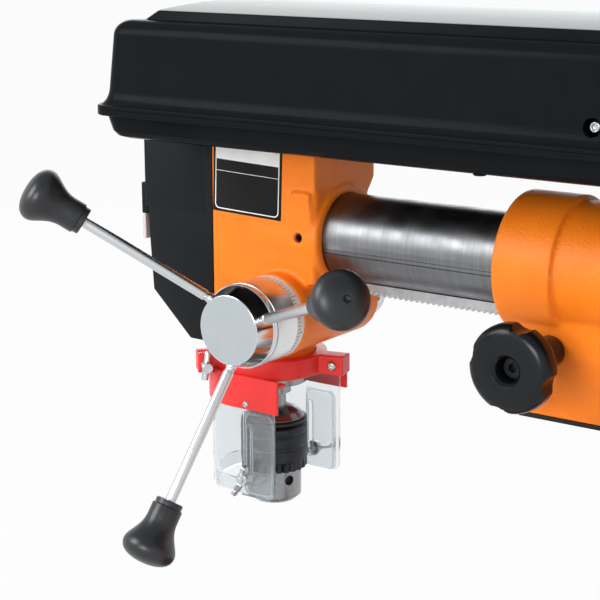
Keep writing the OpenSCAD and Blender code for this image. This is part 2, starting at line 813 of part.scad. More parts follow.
module head() {
  w = head_w / 2;
  color(orange) at_head() difference() {
    union() {
      block([-w, -head_front, -head_drop], [w, -head_rear, head_top]);
      translate([0, -2, 0]) rotate([90, 0, 0]) linear_extrude(head_front - 2) polygon([[-w, head_top], [-w, shoulder_z],
        [-w + 10, shoulder_z - 13], [w - 10, shoulder_z - 13], [w, shoulder_z], [w, head_top]]);
      rod_z(nose_r, 0, -spindle_out, -head_drop, head_top);
      translate([0, -60, 0]) rotate([-90, 0, 0]) round_nosed(collar_d / 2, 60, 4);
      translate([0, 0, -32]) linear_extrude(pad_top + 32) {
        translate([0, -head_rear - 1]) square([w - 0.2, head_rear - 6]);
        translate([0, -head_rear - 1]) square([w - 5, head_rear - 1]);
        translate([w - 5.2, -7]) circle(5);
      }
      intersection() {
        across_x(2 * pad_x) polygon([[-20.8, pad_top], [-5, pad_top], [-5, 4], [-30, 4]]);
        rotate([90, 0, 0]) linear_extrude(40) polygon([[20, 4.5], [w - 0.5, 4.5], [pad_x, pad_top + 1], [20, pad_top + 1]]);
      }
      rod_x(feed_boss_d / 2, -feed_boss_left, feed_boss_right, -feed_out, -feed_drop);
      rod_z(neck_d / 2, 0, -spindle_out, -neck_drop, -head_drop + eps);
    }
    rod_y(ram_r, 0, -socket_depth, eps, 0);
    rod_z(quill_r + run_gap, 0, -spindle_out, -neck_drop - eps, sleeve_low - 6);
    rod_z(bearing_r - 4, 0, -spindle_out, sleeve_low - 7, sleeve_low + eps);
    rod_z(bearing_r, 0, -spindle_out, sleeve_low, head_top + eps);
    rod_x(feed_shaft_r + run_gap, -feed_boss_left - eps, feed_boss_right + eps, -feed_out, -feed_drop);
    rod_x(feed_r + 0.8 * tooth_m + loose_gap, -9, 9, -feed_out, -feed_drop);
    rod_x(3.6, ram_r - 2, pad_x + eps, -17, 2.5);
  }
}

module collar_screw() {
  w = head_w / 2;
  color(black) at_head() difference() {
    rod_x(3.6, ram_r, w - 2, -17, 2.5);
    translate([w - 5, -17, 2.5]) rotate([0, 90, 0]) cylinder(r = 2, h = 6, $fn = 6);
  }
}

// Switch box

module switch_box() {
  w = head_w / 2;
  back = -head_front;
  front = -head_front - box_len;
  color(black) at_head() difference() {
    across_x(head_w) polygon([[back, head_top - 2], [front, head_top - 2], [front + 3, -10],
      [front + 6, -box_drop + box_slope], [front + 43, -box_drop], [back, -box_drop]]);
    rod_z(nose_r + loose_gap, 0, -spindle_out, -box_drop - eps, head_top);
    block([-bezel_w() / 2, front - 1, bezel_low()], [bezel_w() / 2, front + 12, bezel_high()]);
  }
}

function bezel_w() = 44;
function bezel_low() = -18;
function bezel_high() = 34;
function button_mid(i) = bezel_low() + 12 + i * 26;

module switch_bezel() {
  front = -head_front - box_len;
  color(black) at_head() difference() {
    block([-bezel_w() / 2, front - 2, bezel_low()], [bezel_w() / 2, front + 12, bezel_high()]);
    for (i = [0, 1]) block([-13.5, front - 3, button_mid(i) - 9.5], [13.5, front + 10, button_mid(i) + 9.5]);
  }
}

module button(i) {
  front = -head_front - box_len;
  proud = i == 0 ? 7 : 4.5;
  at_head() translate([0, 0, button_mid(i)]) {
    translate([0, front - proud, 0]) rotate([-90, 0, 0]) linear_extrude(proud + 10 - button_travel - 1) rounded(26, 18, 4);
  }
}

module start_button() {
  color([0.15, 0.55, 0.25]) button(1);
}

module stop_button() {
  color(red) button(0);
}

// Feed

module spring_cap() {
  r = spring_cap_d / 2;
  color(steel) at_feed() difference() {
    rod_x(r, -feed_boss_left - spring_cap_len, -feed_boss_left, 0, 0);
    rod_x(r - 2, -feed_boss_left - spring_cap_len + 2.5, -feed_boss_left + eps, 0, 0);
    rod_x(feed_shaft_r - 2, -feed_boss_left - spring_cap_len - eps, -feed_boss_left, 0, 0);
    for (a = [-8 : 90 : 262]) rotate([a, 0, 0]) block([-feed_boss_left - 12, r - 5, -3], [-feed_boss_left - 6, r + 1, 3]);
  }
}

// A flat spiral of strip from the shaft to the cap
module return_spring() {
  turns = 5;
  steps = 20;
  r0 = feed_shaft_r - 2;
  r1 = spring_cap_d / 2 - 2 - 0.5;
  strip = 0.7;
  function spiral(i, off) = let (a = i * 360 / steps, r = r0 + (r1 - strip - r0) * i / (turns * steps) + off)
    [r * cos(a), r * sin(a)];
  color(steel) at_feed() translate([-feed_boss_left - spring_cap_len / 2, 0, 0]) across_x(11) polygon(concat(
    [for (i = [0 : turns * steps]) spiral(i, 0.05)],
    [for (i = [turns * steps : -1 : 0]) spiral(i, 0.05 + strip)]));
}

module feed_shaft() {
  color(steel) at_feed() {
    rod_x(feed_shaft_r, -feed_boss_left + 1, hub_x + 4, 0, 0);
    rod_x(feed_shaft_r - 2.06, -feed_boss_left - spring_cap_len + 1, -feed_boss_left + 2, 0, 0);
    across_x(feed_face_w) rotate(180) spur(tooth_m, feed_teeth);
  }
}

module feed_hub() {
  r = hub_d / 2;
  color(chrome) at_feed() difference() {
    union() {
      rod_x(r, hub_x, hub_x + hub_len, 0, 0);
      rod_x(hub_seat_r, feed_boss_right + 1, hub_x + eps, 0, 0);
    }
    rod_x(feed_shaft_r, feed_boss_right, hub_x + 4, 0, 0);
    handle_places() translate([0, 0, r - 12]) cylinder(d = handle_rod_d, h = 30);
    difference() {
      rod_x(r + 1, hub_x + 4, hub_x + 5, 0, 0);
      rod_x(r - 0.6, hub_x + 3, hub_x + 6, 0, 0);
    }
  }
}

// Handle axes, from the feed axis along each rod
module handle_places() {
  root = hub_x + hub_len * 0.6;
  for (k = [0 : 2]) rotate([handle_turn + 120 * k, 0, 0])
    translate([root - hub_d / 2 * tan(handle_tilt), 0, 0]) rotate([0, 0, -handle_tilt]) rotate([-90, 0, 0]) children();
}

function handle_len() = handle_reach / cos(handle_tilt);

module depth_ring() {
  color(chrome) at_feed() difference() {
    rod_x(depth_ring_d / 2, feed_boss_right + 1, feed_boss_right + 1 + depth_ring_len, 0, 0);
    rod_x(hub_seat_r + run_gap, feed_boss_right, feed_boss_right + 2 + depth_ring_len, 0, 0);
  }
}

module handle_rods() {
  color(chrome) at_feed() handle_places() translate([0, 0, hub_d / 2 - 12])
    cylinder(d = handle_rod_d, h = handle_len() - hub_d / 2 + 12 - 16);
}

module handle_knobs() {
  r = handle_knob_d / 2;
  neck = 11.5;
  bulb = 11;
  mid = 36.5;
  flare = 18;
  color(black) at_feed() handle_places() translate([0, 0, handle_len() - 29.5]) difference() {
    rotate_extrude() intersection() {
      square([r + 1, 60]);
      difference() {
        union() {
          square([neck - 1.3, 5]);
          translate([0, 4.3]) square([neck, 14]);
          translate([0, 16]) square([r - 3.2, mid - bulb * 0.7 - 16]);
          translate([0, mid - bulb * 0.75]) square([r - bulb, bulb * 1.5]);
          translate([r - bulb, mid]) circle(bulb);
          intersection() {
            translate([0, mid - 10]) circle(r + 2);
            translate([0, mid + 3]) square([r, 20]);
          }
        }
        translate([neck + flare, 16]) circle(flare);
      }
    }
    translate([0, 0, -eps]) cylinder(d = handle_rod_d, h = 14 + eps);
    translate([0, 0, mid + r - 7]) sphere(3);
  }
}

// Quill, spindle and chuck

module quill() {
  low = -quill_drop;
  high = low + quill_len;
  color(steel) at_spindle() difference() {
    rod_z(quill_r, 0, 0, low, high);
    rod_z(spindle_r + 2, 0, 0, low - eps, high + eps);
    rod_z(18, 0, 0, low + 2, low + 16);
    rod_z(spindle_r + 4, 0, 0, low - eps, low + 3);
    rod_z(16, 0, 0, high - 12, high + eps);
    across_x(feed_face_w) difference() {
      translate([feed_rack_tip - 5, -feed_drop - 30]) square([12, quill_stroke + 60]);
      translate([feed_rack_tip, -feed_drop - 30]) rotate(90) mirror([0, 1])
        toothed_bar(tooth_m, quill_stroke + 60, 8, 30);
    }
  }
}

module quill_bearings() {
  color(steel) at_spindle() {
    bearing(18, spindle_r + run_gap, -quill_drop + 2, 14);
    bearing(16, spindle_r + run_gap, -quill_drop + quill_len - 12, 12);
  }
}

module spindle() {
  color(steel) at_spindle() {
    rod_z(spindle_r, 0, 0, -quill_drop - nose_collar_len, sleeve_low - 12);
    rod_z(spline_r, 0, 0, sleeve_low - 13, tray_z + 62);
    rod_z(nose_collar_r, 0, 0, -quill_drop - loose_gap - nose_collar_len, -quill_drop - loose_gap);
    rod_z(nose_neck_r, 0, 0, chuck_top - 20, -quill_drop - nose_collar_len);
  }
}

// Axis of jaw k, with its lower end at the chuck's nose
module jaw_place(k) {
  rotate(120 * k) translate([jaw_out, 0, chuck_low]) rotate([0, jaw_lean, 0]) children();
}

module chuck_body() {
  core = chuck_core_r;
  nose = chuck_nose_d / 2;
  color(steel) at_spindle() difference() {
    translate([0, 0, chuck_low]) rotate_extrude() polygon([[0, 0], [nose - 4.5, 0], [nose, 4], [nose, chuck_nose_len - loose_gap],
      [core, chuck_nose_len - loose_gap], [core, chuck_nose_len + chuck_sleeve_len + loose_gap],
      [chuck_d / 2 - 2.5, chuck_nose_len + chuck_sleeve_len + loose_gap],
      [chuck_d / 2 - 2.5, chuck_nose_len + chuck_sleeve_len + 4], [chuck_d / 2 - 4.2, chuck_len - 6], [19, chuck_len - 2.5],
      [nose_neck_r + 3, chuck_len], [0, chuck_len]]);
    rod_z(nose_neck_r, 0, 0, chuck_top - 20, chuck_top + eps);
    rod_z(grip_d / 2 + 2, 0, 0, chuck_low - eps, chuck_low + 44);
    for (k = [0 : 2]) jaw_place(k) translate([0, 0, -8]) cylinder(d = jaw_d + 2 * run_gap, h = jaw_len + jaw_up + 9);
    for (a = [70 : 120 : 310]) rotate(a) rod_x(4, nose - 5, nose + 1, 0, chuck_low + 19);
  }
}

module chuck_sleeve() {
  low = chuck_low + chuck_nose_len;
  teeth = 24;
  color(black) at_spindle() difference() {
    union() {
      translate([0, 0, low]) rotate_extrude() difference() {
        translate([chuck_core_r + run_gap, 0]) square([chuck_d / 2 - chuck_core_r - run_gap, chuck_sleeve_len]);
        for (z = [19, 30]) translate([chuck_d / 2 + 0.6, z]) circle(1.6);
        translate([chuck_d / 2 - 2, chuck_sleeve_len - 0]) rotate(45) square(4, center = true);
      }
    }
    for (i = [0 : teeth - 1]) rotate(i * 360 / teeth)
      translate([chuck_d / 2, 0, low]) rotate([0, 0, 45]) cube([3.4, 3.4, 16], center = true);
  }
}

module chuck_jaw(k) {
  color(steel) at_spindle() intersection() {
    difference() {
      jaw_place(k) translate([0, 0, -4]) cylinder(d = jaw_d, h = jaw_len + 4);
      rod_z(grip_d / 2, 0, 0, chuck_low - 20, chuck_low + jaw_len + 20);
      rod_z(40, 0, 0, chuck_low - 20, chuck_low + 0.2);
    }
    rotate(120 * k) translate([jaw_apex, 0, chuck_low - 20]) linear_extrude(jaw_len + 60)
      polygon([[0, 0], [40, -40 * tan(58)], [40, 40 * tan(58)]]);
  }
}

module chuck_jaw_1() { chuck_jaw(0); }
module chuck_jaw_2() { chuck_jaw(1); }
module chuck_jaw_3() { chuck_jaw(2); }

// Chuck guard

// A wall bent round the spindle: half round at the front, open at the back
module bent_wall(r, t, back, z0, z1) {
  rotate(180) rotate_extrude(angle = 180) translate([r - t, z0]) square([t, z1 - z0]);
  for (s = [0, 1]) mirror([s, 0, 0]) block([r - t, 0, z0], [r, back, z1]);
}

module at_shield() {
  at_spindle() translate([0, -shield_shift, 0]) children();
}

module guard_ring() {
  r = guard_ring_d / 2;
  color(red) at_spindle() difference() {
    union() {
      rod_z(r, 0, 0, guard_low, guard_top);
      rotate(arm_turn) block([-8, r - 6, guard_low], [8, arm_end, guard_top]);
      rotate(lug_turn - 90) block([-9, r - 6, guard_low], [9, r + 19, guard_top]);
    }
    rod_z(neck_d / 2 + run_gap, 0, 0, guard_low - eps, guard_top + eps);
    rotate(lug_turn - 90) block([-1.2, neck_d / 2 - 1, guard_low - eps], [1.2, r + 20, guard_top + eps]);
    rotate(lug_turn - 90) rod_x(2.6, -10, 10, r + 13, (guard_low + guard_top) / 2);
    rotate(arm_turn) rod_x(2.6, -9, 9, arm_end - 9, (guard_low + guard_top) / 2);
  }
}

module guard_clamp_screw() {
  r = guard_ring_d / 2;
  color(chrome) at_spindle() rotate(lug_turn - 90) mirror([1, 0, 0]) translate([9, r + 13, (guard_low + guard_top) / 2]) {
    rod_x(2.5, -18, 1, 0, 0);
    rod_x(4.2, 0, 16, 0, 0);
    translate([10, 0, 0]) cylinder(r = 2.2, h = 24, center = true);
  }
}

module guard_holder() {
  outer = shield_r + loose_gap + holder_t;
  back = shield_back + shield_shift + 5;
  color(red) at_shield() {
    difference() {
      bent_wall(outer, holder_t, back, holder_low, holder_top);
      translate([0, shield_shift, 0]) {
        rotate(arm_turn) block([-8.1, 0, guard_low - 0.1], [8.1, 2 * outer, guard_top]);
        rotate(lug_turn - 90) block([-9.1, 0, guard_low - 0.1], [9.1, 2 * outer, guard_top]);
      }
    }
    difference() {
      union() {
        rod_z(outer - 1, 0, 0, guard_low - holder_t, guard_low);
        block([-outer + 1, 0, guard_low - holder_t], [outer - 1, back - 1, guard_low]);
      }
      rod_z(neck_d / 2 + 1, 0, shield_shift, guard_low - 2 * holder_t, guard_low + eps);
      block([-neck_d / 2 - 1, shield_shift, guard_low - 2 * holder_t], [neck_d / 2 + 1, 2 * outer, guard_low + eps]);
    }
  }
}

module guard_shield() {
  top = guard_low - holder_t - loose_gap;
  color(clear) at_shield() difference() {
    bent_wall(shield_r, shield_t, shield_back + shield_shift, -shield_drop, top);
    for (s = [-1, 1]) rod_x(2.6, s > 0 ? shield_r - 5 : -shield_r - 5, s > 0 ? shield_r + 5 : -shield_r + 5, wing_y, wing_z);
    corner_cut(shield_back + shield_shift, -shield_drop, 8);
  }
}

// Rounds the lower back corner of a sheet bent round the spindle
module corner_cut(back, low, r) {
  across_x(2 * shield_w) translate([back - r, low + r]) difference() {
    translate([0, -r - 1]) square([r + 1, r + 1]);
    circle(r);
  }
}

module guard_slide() {
  r = shield_r - shield_t - loose_gap;
  top = holder_low - 4;
  back = shield_back + shield_shift - 3;
  color(clear) at_shield() difference() {
    union() {
      bent_wall(r, shield_t, back, -shield_drop, -shield_drop + 12);
      for (s = [-1, 1]) block([s > 0 ? r - shield_t : -r, back - slide_w, -shield_drop], [s > 0 ? r : -r + shield_t, back, top]);
    }
    across_x(2 * r + 4) translate([wing_y, wing_z + slide_travel / 2]) slot_y(slot_w, slide_travel + slot_w + 1);
    corner_cut(back, -shield_drop, 6);
    mirror([0, 0, 1]) corner_cut(back, -top, 6);
  }
}

module guard_fasteners() {
  color(chrome) {
    at_shield() for (s = [0, 1]) mirror([s, 0, 0]) translate([shield_r, wing_y, wing_z]) {
      rod_x(2.4, -shield_t * 2 - loose_gap - 4, 5, 0, 0);
      rod_x(4.5, 0.1, 5, 0, 0);
      across_wings();
    }
    at_shield() for (s = [0, 1]) mirror([s, 0, 0]) rod_x(3.2, shield_r + loose_gap + holder_t, shield_r + loose_gap + holder_t + 1.6,
      shield_shift + 8, holder_low + 4);
    at_spindle() rotate(arm_turn) {
      rod_x(2.5, -8.5, 8.5, arm_end - 9, (guard_low + guard_top) / 2);
      rod_x(4.2, 8, 10.5, arm_end - 9, (guard_low + guard_top) / 2);
    }
  }
}

module across_wings() {
  for (a = [35, 215]) rotate([a, 0, 0]) translate([2.8, 3, -1.1]) rotate([0, 0, 62]) cube([9, 2.4, 2.2]);
}

// Belt cover

// Plan of the cover, drawn in from its sides, and from its ends by more
module cover_plan(inset, ends = 0) {
  translate([0, lid_mid]) rounded(lid_w - 2 * inset, lid_len - 2 * inset - 2 * ends, max(lid_r - inset * 0.5, 6), $fn = hull_fn);
}

// A drafted form through stations of height, inset and further inset of the ends
module drafted(stations) {
  hull() for (s = stations) translate([0, 0, s[0]]) linear_extrude(0.01) cover_plan(s[1], s[2]);
}

module belt_tray() {
  wall = lid_wall;
  color(black) at_head() difference() {
    union() {
      drafted([[tray_z, lip_w + 11, 0], [tray_z + 1.5, lip_w + 6, 0], [tray_z + 5.5, lip_w + 2.9, 0], [lip_z - 0.02, lip_w - 1.2, 0]]);
      translate([0, 0, lip_z - tray_lip_t]) linear_extrude(tray_lip_t) cover_plan(0);
    }
    drafted([[tray_z + wall, lip_w + 11 + wall / 2, 0], [tray_z + 1.5 + wall, lip_w + 6 + wall, 0],
      [tray_z + 5.5 + wall, lip_w + 2.9 + wall, 0], [lip_z + 1, lip_w - 1.2 + wall - 0.2, 0]]);
    rod_z(bearing_r - 3, 0, -spindle_out, tray_z - eps, tray_z + wall + eps);
    rod_z(motor_shaft_r + 6, 0, motor_y, tray_z - eps, tray_z + wall + eps);
  }
}

// Shoulder of the lid: a drafted wall that rounds over at the top
function shoulder_stations(wall) = [[lid_z - (wall > 0 ? 1 : 0), lip_w + wall, 0],
  for (k = [0 : 4]) [shoulder_top - shoulder_r + (shoulder_r - wall) * sin(k * 22.5),
    lip_w + 4.5 + wall + (shoulder_r - wall) * (1 - cos(k * 22.5)), 0]];

// Crowned panel: a drafted form under a large cylinder along the cover
module lid_panel(wall) {
  top = shoulder_top + panel_h + crown_h;
  low = shoulder_top - 1 - wall * 1.5;
  intersection() {
    drafted([[low, panel_inset + wall, panel_ends], [shoulder_top + panel_h - wall, panel_inset + 3 + wall, panel_ends + 7],
      [top + 1, panel_inset + 5 + wall, panel_ends + 11]]);
    rod_y(crown_r - wall, 0, -lid_front, motor_y + lid_rear, top - crown_r, $fn = 480);
  }
}

module belt_lid() {
  wall = lid_wall;
  seat = lid_w / 2 - lip_w - 8;
  color(black) at_head() difference() {
    union() {
      difference() {
        union() {
          translate([0, 0, lid_z]) linear_extrude(lip_t) cover_plan(0);
          drafted([[lid_z + lip_t - 0.5, 1, 0], [lid_z + lip_t + 2, 3.6, 0]]);
          drafted([[lid_z + lip_t + 1.9, 3.6, 0], [lid_z + lip_t + 6.3, lip_w + 1.1, 0]]);
          drafted(shoulder_stations(0));
          lid_panel(0);
          for (y = hinge_spots) {
            rod_y(hinge_r, hinge_x, y + 0.4, y + hinge_len / 2, lip_z + loose_gap / 2);
            block([hinge_x, y + 0.4, lid_z + 0.2], [-lid_w / 2 + 2, y + hinge_len / 2, lid_z + lip_t]);
          }
        }
        drafted(shoulder_stations(wall));
        lid_panel(wall);
        for (y = hinge_spots) rod_y(1.6 + run_gap, hinge_x, y - 1, y + hinge_len / 2 + 1, lip_z + loose_gap / 2);
      }
      rod_x(8.5, seat - 3, lid_w / 2 - lip_w - 2.5, lid_screw_y, lid_screw_z);
    }
    rod_x(6, seat, lid_w / 2, lid_screw_y, lid_screw_z);
  }
}

module lid_screw() {
  color(steel) at_head() difference() {
    rod_x(4, lid_w / 2 - lip_w - 8, lid_w / 2 - lip_w - 5, lid_screw_y, lid_screw_z);
    rod_x(1.4, lid_w / 2 - lip_w - 6.5, lid_w / 2, lid_screw_y, lid_screw_z);
  }
}

module lid_hinges() {
  z = lip_z + loose_gap / 2;
  color(black) at_head() for (y = hinge_spots) {
    rod_y(1.6, hinge_x, y - hinge_len / 2, y + hinge_len / 2 + 0.5, z);
    rod_y(hinge_r, hinge_x, y - hinge_len / 2, y, z);
    block([hinge_x - 2, y - hinge_len / 2, lip_z - tray_lip_t - 6], [-lid_w / 2, y, z - 1]);
  }
}

// Drive

module drive_sleeve() {
  color(steel) at_spindle() difference() {
    union() {
      rod_z(sleeve_r, 0, 0, sleeve_low - 1, pulley_low + pulley_h + 6);
      rod_z(17, 0, 0, pulley_low + pulley_h + 0.1, pulley_low + pulley_h + 8);
    }
    rod_z(spline_r + run_gap, 0, 0, sleeve_low - 2, pulley_low + pulley_h + 10);
  }
}

module sleeve_bearings() {
  color(steel) at_spindle() {
    bearing(bearing_r, sleeve_r + run_gap, sleeve_low, bearing_t);
    bearing(bearing_r, sleeve_r + run_gap, head_top - bearing_t - 1, bearing_t);
  }
}

// Five-step pulley; big is 1 with the largest step low, -1 with it high
module step_pulley(bore, big) {
  difference() {
    translate([0, 0, pulley_low]) rotate_extrude() difference() {
      union() {
        for (i = [0 : 4]) translate([bore, 2 + i * step_h]) square([step_radius(i, big) - bore, step_h]);
        translate([bore, 0]) square([step_radius(2, 1) * 0.5 - bore, pulley_h]);
      }
      for (i = [0 : 4]) translate([step_radius(i, big), 2 + (i + 0.5) * step_h]) groove();
    }
  }
}

function step_radius(i, big) = pulley_d / 2 + big * (2 - i) * pulley_step / 2;

// V groove, its mouth at x = 0
module groove() {
  mouth = belt_w / 2 + loose_gap * 1.2 + 0.2;
  root = mouth - groove_depth * tan(18);
  polygon([[1, -mouth], [1, mouth], [0, mouth], [-groove_depth, root], [-groove_depth, -root], [0, -mouth]]);
}

module spindle_pulley() {
  color(iron) at_spindle() step_pulley(sleeve_r, 1);
}

module motor_pulley() {
  color(iron) at_head() translate([0, motor_y, 0]) step_pulley(motor_shaft_r, -1);
}

module belt_section() {
  half = belt_w / 2;
  low = half - belt_t * tan(18);
  polygon([[0, -half], [0, half], [-belt_t, low], [-belt_t, -low]]);
}

module drive_belt() {
  span = motor_y + spindle_out;
  color(black) at_spindle() translate([0, 0, belt_z]) {
    rotate(180) rotate_extrude(angle = 180) translate([belt_r, 0]) belt_section();
    translate([0, span, 0]) rotate_extrude(angle = 180) translate([belt_r, 0]) belt_section();
    for (s = [0, 1]) mirror([s, 0, 0]) translate([belt_r, span, 0]) rotate([90, 0, 0]) linear_extrude(span) belt_section();
  }
}

module motor_bracket() {
  color(orange) at_head() difference() {
    union() {
      rod_y(48, 0, bracket_front, ram_rear, 0);
      block([-plate_w / 2, ram_rear - 2, motor_low + 18], [plate_w / 2, ram_rear + plate_t, head_top - 10]);
      block([-plate_w / 2, bracket_front, head_top - 12], [plate_w / 2, ram_rear + plate_t, head_top]);
      for (s = [-1, 1]) block([s * 26 - 6, bracket_front, 30], [s * 26 + 6, ram_rear, head_top - 2]);
    }
    rod_y(ram_r, 0, bracket_front - eps, ram_rear, 0);
  }
}

module motor() {
  r = motor_d / 2;
  mid = (motor_top + motor_low) / 2;
  rib = 2.5;
  color([0.2, 0.21, 0.22]) at_head() translate([0, motor_y, 0]) difference() {
    union() {
      rod_z(r - 6, 0, 0, motor_low, motor_top);
      for (a = [-60 : 15 : 240]) rotate(a) block([r - 9, -rib / 2, motor_low + 10], [r, rib / 2, motor_top - 10]);
      rod_z(r - 3, 0, 0, motor_top - 12, motor_top);
      rod_z(r - 3, 0, 0, motor_low - 34, motor_low + 12);
      rod_z(24, 0, 0, motor_top - eps, motor_top + 6);
      block([-46, -foot_gap, motor_low + 22], [46, -r + 16, motor_top - 14]);
      block([r - 12, -34, mid - 42], [r + 26, 34, mid + 34]);
    }
    rod_z(motor_shaft_r + loose_gap, 0, 0, motor_low + 10, motor_top + 7);
    for (a = [0 : 30 : 330]) rotate(a) block([20, -2.5, motor_low - 35], [r - 14, 2.5, motor_low - 31]);
  }
}

module motor_shaft() {
  color(steel) at_head() rod_z(motor_shaft_r, 0, motor_y, motor_low + 11, pulley_low + pulley_h + 3);
}

base();
column_flange();
flange_bolts();
column();
rack_collar();
column_rack();
table_arm();
table_crank();
crank_grip();
table_lock();
table();
table_clamp();
support();
pinion_cover();
ram_pinion();
ram_knob();
knob_screw();
ram_lock();
swivel_lock();
ram_rack();
ram_tube();
head();
collar_screw();
switch_box();
switch_bezel();
start_button();
stop_button();
spring_cap();
return_spring();
feed_shaft();
feed_hub();
depth_ring();
handle_rods();
handle_knobs();
quill();
quill_bearings();
spindle();
chuck_body();
chuck_sleeve();
chuck_jaw_1();
chuck_jaw_2();
chuck_jaw_3();
guard_ring();
guard_clamp_screw();
guard_holder();
guard_shield();
guard_fasteners();
guard_slide();
belt_tray();
belt_lid();
lid_screw();
lid_hinges();
drive_sleeve();
sleeve_bearings();
spindle_pulley();
drive_belt();
motor_pulley();
motor_bracket();
motor();
motor_shaft();
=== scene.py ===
"""Looks of a bench radial drill press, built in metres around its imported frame."""

import json
import math

import bmesh
import bpy
from bpy.props import FloatProperty, FloatVectorProperty, IntProperty, PointerProperty
from mathutils import Matrix, Vector

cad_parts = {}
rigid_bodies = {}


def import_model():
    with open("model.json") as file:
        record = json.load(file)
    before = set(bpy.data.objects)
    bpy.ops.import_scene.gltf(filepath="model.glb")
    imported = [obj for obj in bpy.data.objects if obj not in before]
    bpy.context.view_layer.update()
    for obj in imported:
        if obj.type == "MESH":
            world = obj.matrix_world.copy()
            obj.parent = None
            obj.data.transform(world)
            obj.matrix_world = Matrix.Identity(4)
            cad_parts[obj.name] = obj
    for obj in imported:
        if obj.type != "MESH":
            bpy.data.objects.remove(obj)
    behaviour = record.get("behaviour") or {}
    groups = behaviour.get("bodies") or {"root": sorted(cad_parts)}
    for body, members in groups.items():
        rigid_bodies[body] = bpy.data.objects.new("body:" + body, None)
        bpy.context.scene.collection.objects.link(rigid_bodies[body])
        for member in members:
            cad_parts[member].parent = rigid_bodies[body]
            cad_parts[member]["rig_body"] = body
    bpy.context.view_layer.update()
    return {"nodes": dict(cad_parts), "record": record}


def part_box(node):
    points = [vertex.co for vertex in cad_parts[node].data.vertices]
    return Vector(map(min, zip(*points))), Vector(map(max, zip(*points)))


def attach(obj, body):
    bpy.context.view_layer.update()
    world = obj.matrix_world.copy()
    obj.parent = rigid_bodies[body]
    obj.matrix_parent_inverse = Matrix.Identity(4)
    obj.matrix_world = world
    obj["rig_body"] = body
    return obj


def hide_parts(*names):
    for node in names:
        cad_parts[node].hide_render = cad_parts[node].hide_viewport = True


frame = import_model()

bl_info = {
    "name": "Bench Radial Drill Press",
    "version": (1, 0, 0),
    "blender": (4, 5, 0),
    "location": "3D View > Sidebar > Drill Press",
    "description": "Dresses the drill press frame with its castings, covers, controls and finishes",
    "category": "Object",
}

# Places in the frame, in metres
MM = 0.001
RAM_LOW, RAM_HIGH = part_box("ram_tube")
RAM_Z = (RAM_LOW.z + RAM_HIGH.z) / 2
COLLAR_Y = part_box("head")[1].y

# Places and sizes in millimetres, from the ram axis at the head's collar face
TUBE_R = 32.5
FEED_Y = -31.46
FEED_Z = -56.0
SPINDLE_Y = -70.0
MOTOR_Y = 580.0
PINION_Y = 191.0
PINION_Z = -52.1

X_AXIS = Vector((1, 0, 0))
Z_AXIS = Vector((0, 0, 1))


# Settings


class PaintSettings(bpy.types.PropertyGroup):
    """Colours of the paints and plastics."""

    orange: FloatVectorProperty(
        name="Orange", description="Enamel on the castings", subtype="COLOR",
        size=3, min=0, max=1, default=(0.97, 0.22, 0.0105))
    cover_black: FloatVectorProperty(
        name="Cover black", description="Gloss enamel on the belt cover", subtype="COLOR",
        size=3, min=0, max=1, default=(0.0085, 0.0096, 0.0108))
    plastic_black: FloatVectorProperty(
        name="Plastic black", description="Moulded knobs and grips", subtype="COLOR",
        size=3, min=0, max=1, default=(0.012, 0.0145, 0.0178))
    guard_red: FloatVectorProperty(
        name="Guard red", description="Moulded ring and holder of the chuck guard", subtype="COLOR",
        size=3, min=0, max=1, default=(0.77, 0.036, 0.034))


class SizeSettings(bpy.types.PropertyGroup):
    """Sizes of the finer forms."""

    cast_grain: FloatProperty(
        name="Casting mesh", description="Mesh size of the soft castings", subtype="DISTANCE",
        unit="LENGTH", min=0.0008, max=0.004, default=0.0016)
    scale_marks: IntProperty(
        name="Scale marks", description="Marks round the depth ring", min=12, max=120, default=70)
    sleeve_notches: IntProperty(
        name="Key notches", description="Notches round the chuck's sleeve", min=12, max=36, default=24)
    plate_edge: FloatProperty(
        name="Plate border", description="Width of the white line round the bare plate", subtype="DISTANCE",
        unit="LENGTH", min=0.0003, max=0.003, default=0.0008)


class StageSettings(bpy.types.PropertyGroup):
    """Floor, lamps and camera."""

    floor: FloatVectorProperty(
        name="Floor", description="Colour of the floor", subtype="COLOR",
        size=3, min=0, max=1, default=(0.74, 0.74, 0.74))
    key_power: FloatProperty(
        name="Key lamp", description="Power of the large lamp", unit="POWER", min=0, max=500, default=32.0)
    sky: FloatProperty(
        name="Sky", description="Strength of the even light from all round", min=0, max=2, default=0.45)
    lens: FloatProperty(
        name="Lens", description="Focal length of the camera in millimetres",
        min=20, max=200, default=100.66)
    azimuth: FloatProperty(
        name="Azimuth", description="Camera's turn about the upright axis", subtype="ANGLE",
        default=math.radians(125.93))
    elevation: FloatProperty(
        name="Elevation", description="Camera's height angle", subtype="ANGLE", default=math.radians(13.44))
    roll: FloatProperty(
        name="Roll", description="Camera's turn about its own axis", subtype="ANGLE",
        default=math.radians(-0.22))


# Places


def at(x, y, z):
    """A place in metres, from millimetres off the ram axis at the head's collar face."""
    return Vector((x * MM, y * MM + COLLAR_Y, z * MM + RAM_Z))


def turn_to(origin, axis):
    """Matrix that sets a form drawn along +Z at a place, along an axis, from millimetres."""
    facing = axis.to_track_quat("Z", "Y").to_matrix().to_4x4()
    return Matrix.Translation(origin) @ facing @ Matrix.Scale(MM, 4)


def body_of(node):
    """The body that carries a frame node."""
    return frame["nodes"][node]["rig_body"]


def slot_of(node):
    """The material slot that the record gives a node."""
    for row in frame["record"]["subparts"]:
        if row["node"] == node:
            return row["material_slot"]
    raise ValueError("no material slot for " + node)


# Finishes


def shader(name):
    """A new material with its node tree and its principled shader."""
    mat = bpy.data.materials.new(name)
    mat.use_nodes = True
    tree = mat.node_tree
    base = next(n for n in tree.nodes if n.type == "BSDF_PRINCIPLED")
    return mat, tree, base


